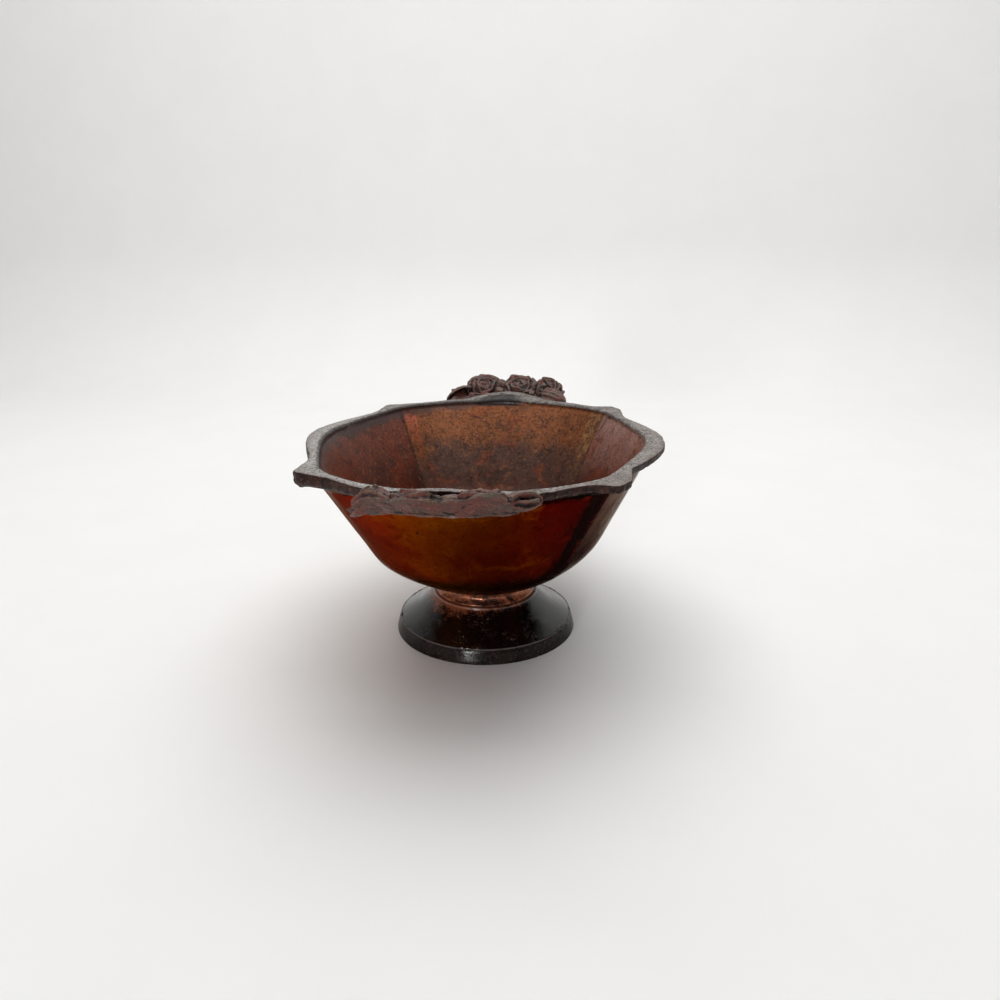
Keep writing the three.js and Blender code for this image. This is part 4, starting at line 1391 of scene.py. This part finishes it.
# Pieces
SEED = 3
RELIEF_PASSES = 30
shell = bowl([outside_patina(), rim_patina(), inside_patina()])
foot_cone = foot([foot_patina(), lip_patina()])
neck_ring = neck(neck_patina())
cast_finish = garland_patina()
garland_back = garland("garland_back", BACK_GARLAND, cast_finish, SEED)
garland_front = garland("garland_front", FRONT_GARLAND, cast_finish, SEED, front=True)
garland_front.data.transform(Matrix.Rotation(math.pi, 4, "Z"))
for made in (garland_back, garland_front):
    relief(made, RELIEF_PASSES)
for made, node, slot in ((shell, "bowl_body", "bowl_patina"), (foot_cone, "foot", "foot_patina"),
                         (neck_ring, "neck_collar", "neck_patina"),
                         (garland_back, "handle_back", "garland_patina"),
                         (garland_front, "handle_front", "garland_patina")):
    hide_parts(node)
    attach(made, "root")
fastener = steel()
for node in ("threaded_stud", "washer", "nut"):
    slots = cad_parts[node].material_slots
    for s in slots:
        s.material = fastener
    if not slots:
        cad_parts[node].data.materials.append(fastener)

# Camera, as the photograph's
FOCAL_PIXELS = 760
IMAGE_PIXELS = 1000
SENSOR = 36
CAMERA_PLACE = (44.6, -311.5, 157.3)
AHEAD = (-0.1207, 0.9927)
PITCH = math.radians(17.514)
ROLL = math.radians(-0.244)
camera_data = bpy.data.cameras.new("camera")
camera_data.sensor_width = SENSOR
camera_data.lens = FOCAL_PIXELS / IMAGE_PIXELS * SENSOR
camera_data.clip_start = 0.01
camera = bpy.data.objects.new("camera", camera_data)
bpy.context.scene.collection.objects.link(camera)
bpy.context.scene.camera = camera
ahead = Vector((AHEAD[0] * math.cos(PITCH), AHEAD[1] * math.cos(PITCH), -math.sin(PITCH))).normalized()
right = Vector((AHEAD[1], -AHEAD[0], 0)).normalized()
up = right.cross(ahead)
turn = Matrix((right, up, -ahead)).transposed().to_4x4()
camera.matrix_world = (Matrix.Translation(Vector(CAMERA_PLACE) * MM) @ turn
                       @ Matrix.Rotation(ROLL, 4, "Z"))


# Stage and light, in metres and watts
STAGE_COLOUR = rgb(240, 239, 237)
STAGE_HALF_WIDTH = 2.2
STAGE_FRONT = -1.6
STAGE_BEND_START = 0.55
STAGE_BEND_RADIUS = 0.18
STAGE_TOP = 1.6
STAGE_BEND_STEPS = 12
CEILING_LIGHT = ("ceiling_light", (0.0, 0.2, 1.25), (0, 0.05, 0), (1.5, 1.2), 15.5)
WINDOW_LIGHT = ("window_light", (-0.28, -1.33, 0.19), (0, 0, 0.06), (0.15, 0.34), 8)
WORLD_COLOUR = (0.9, 0.92, 0.95, 1)
WORLD_STRENGTH = 0.22


def stage_finish():
    f = Finish("stage_plain", Specular_IOR_Level=0.2)
    shade = tuple(0.985 * v for v in STAGE_COLOUR[:3]) + (1,)
    f.colour = f.mix(f.spots(0.3, 0.7, 60, 3), STAGE_COLOUR, shade)
    return f.done(0.8)


def stage_sheet():
    """A floor that sweeps up into a wall behind the bowl."""
    bm = bmesh.new()
    profile = [(STAGE_FRONT, 0), (STAGE_BEND_START, 0)]
    for k in range(1, STAGE_BEND_STEPS + 1):
        a = math.pi / 2 * k / STAGE_BEND_STEPS
        profile.append((STAGE_BEND_START + STAGE_BEND_RADIUS * math.sin(a),
                        STAGE_BEND_RADIUS - STAGE_BEND_RADIUS * math.cos(a)))
    profile.append((STAGE_BEND_START + STAGE_BEND_RADIUS, STAGE_TOP))
    across = np.linspace(-STAGE_HALF_WIDTH, STAGE_HALF_WIDTH, 9)
    rows = [[bm.verts.new((x, y, z)) for x in across] for y, z in profile]
    for a, b in zip(rows, rows[1:]):
        for k in range(len(a) - 1):
            bm.faces.new((a[k], a[k + 1], b[k + 1], b[k]))
    mesh = bpy.data.meshes.new("stage")
    bm.to_mesh(mesh)
    bm.free()
    mesh.materials.append(stage_finish())
    mesh.polygons.foreach_set("use_smooth", [True] * len(mesh.polygons))
    made = bpy.data.objects.new("stage", mesh)
    bpy.context.scene.collection.objects.link(made)


def softbox(name, place, target, size, watts):
    data = bpy.data.lights.new(name, "AREA")
    data.shape = "RECTANGLE"
    data.size, data.size_y = size
    data.energy = watts
    made = bpy.data.objects.new(name, data)
    made.location = place
    made.rotation_euler = (Vector(target) - Vector(place)).to_track_quat("-Z", "Y").to_euler()
    bpy.context.scene.collection.objects.link(made)


stage_sheet()
softbox(*CEILING_LIGHT)
softbox(*WINDOW_LIGHT)
world = bpy.data.worlds.new("world")
bpy.context.scene.world = world
world.use_nodes = True
world.node_tree.nodes["Background"].inputs["Color"].default_value = WORLD_COLOUR
world.node_tree.nodes["Background"].inputs["Strength"].default_value = WORLD_STRENGTH
bpy.context.scene.view_settings.view_transform = "Standard"
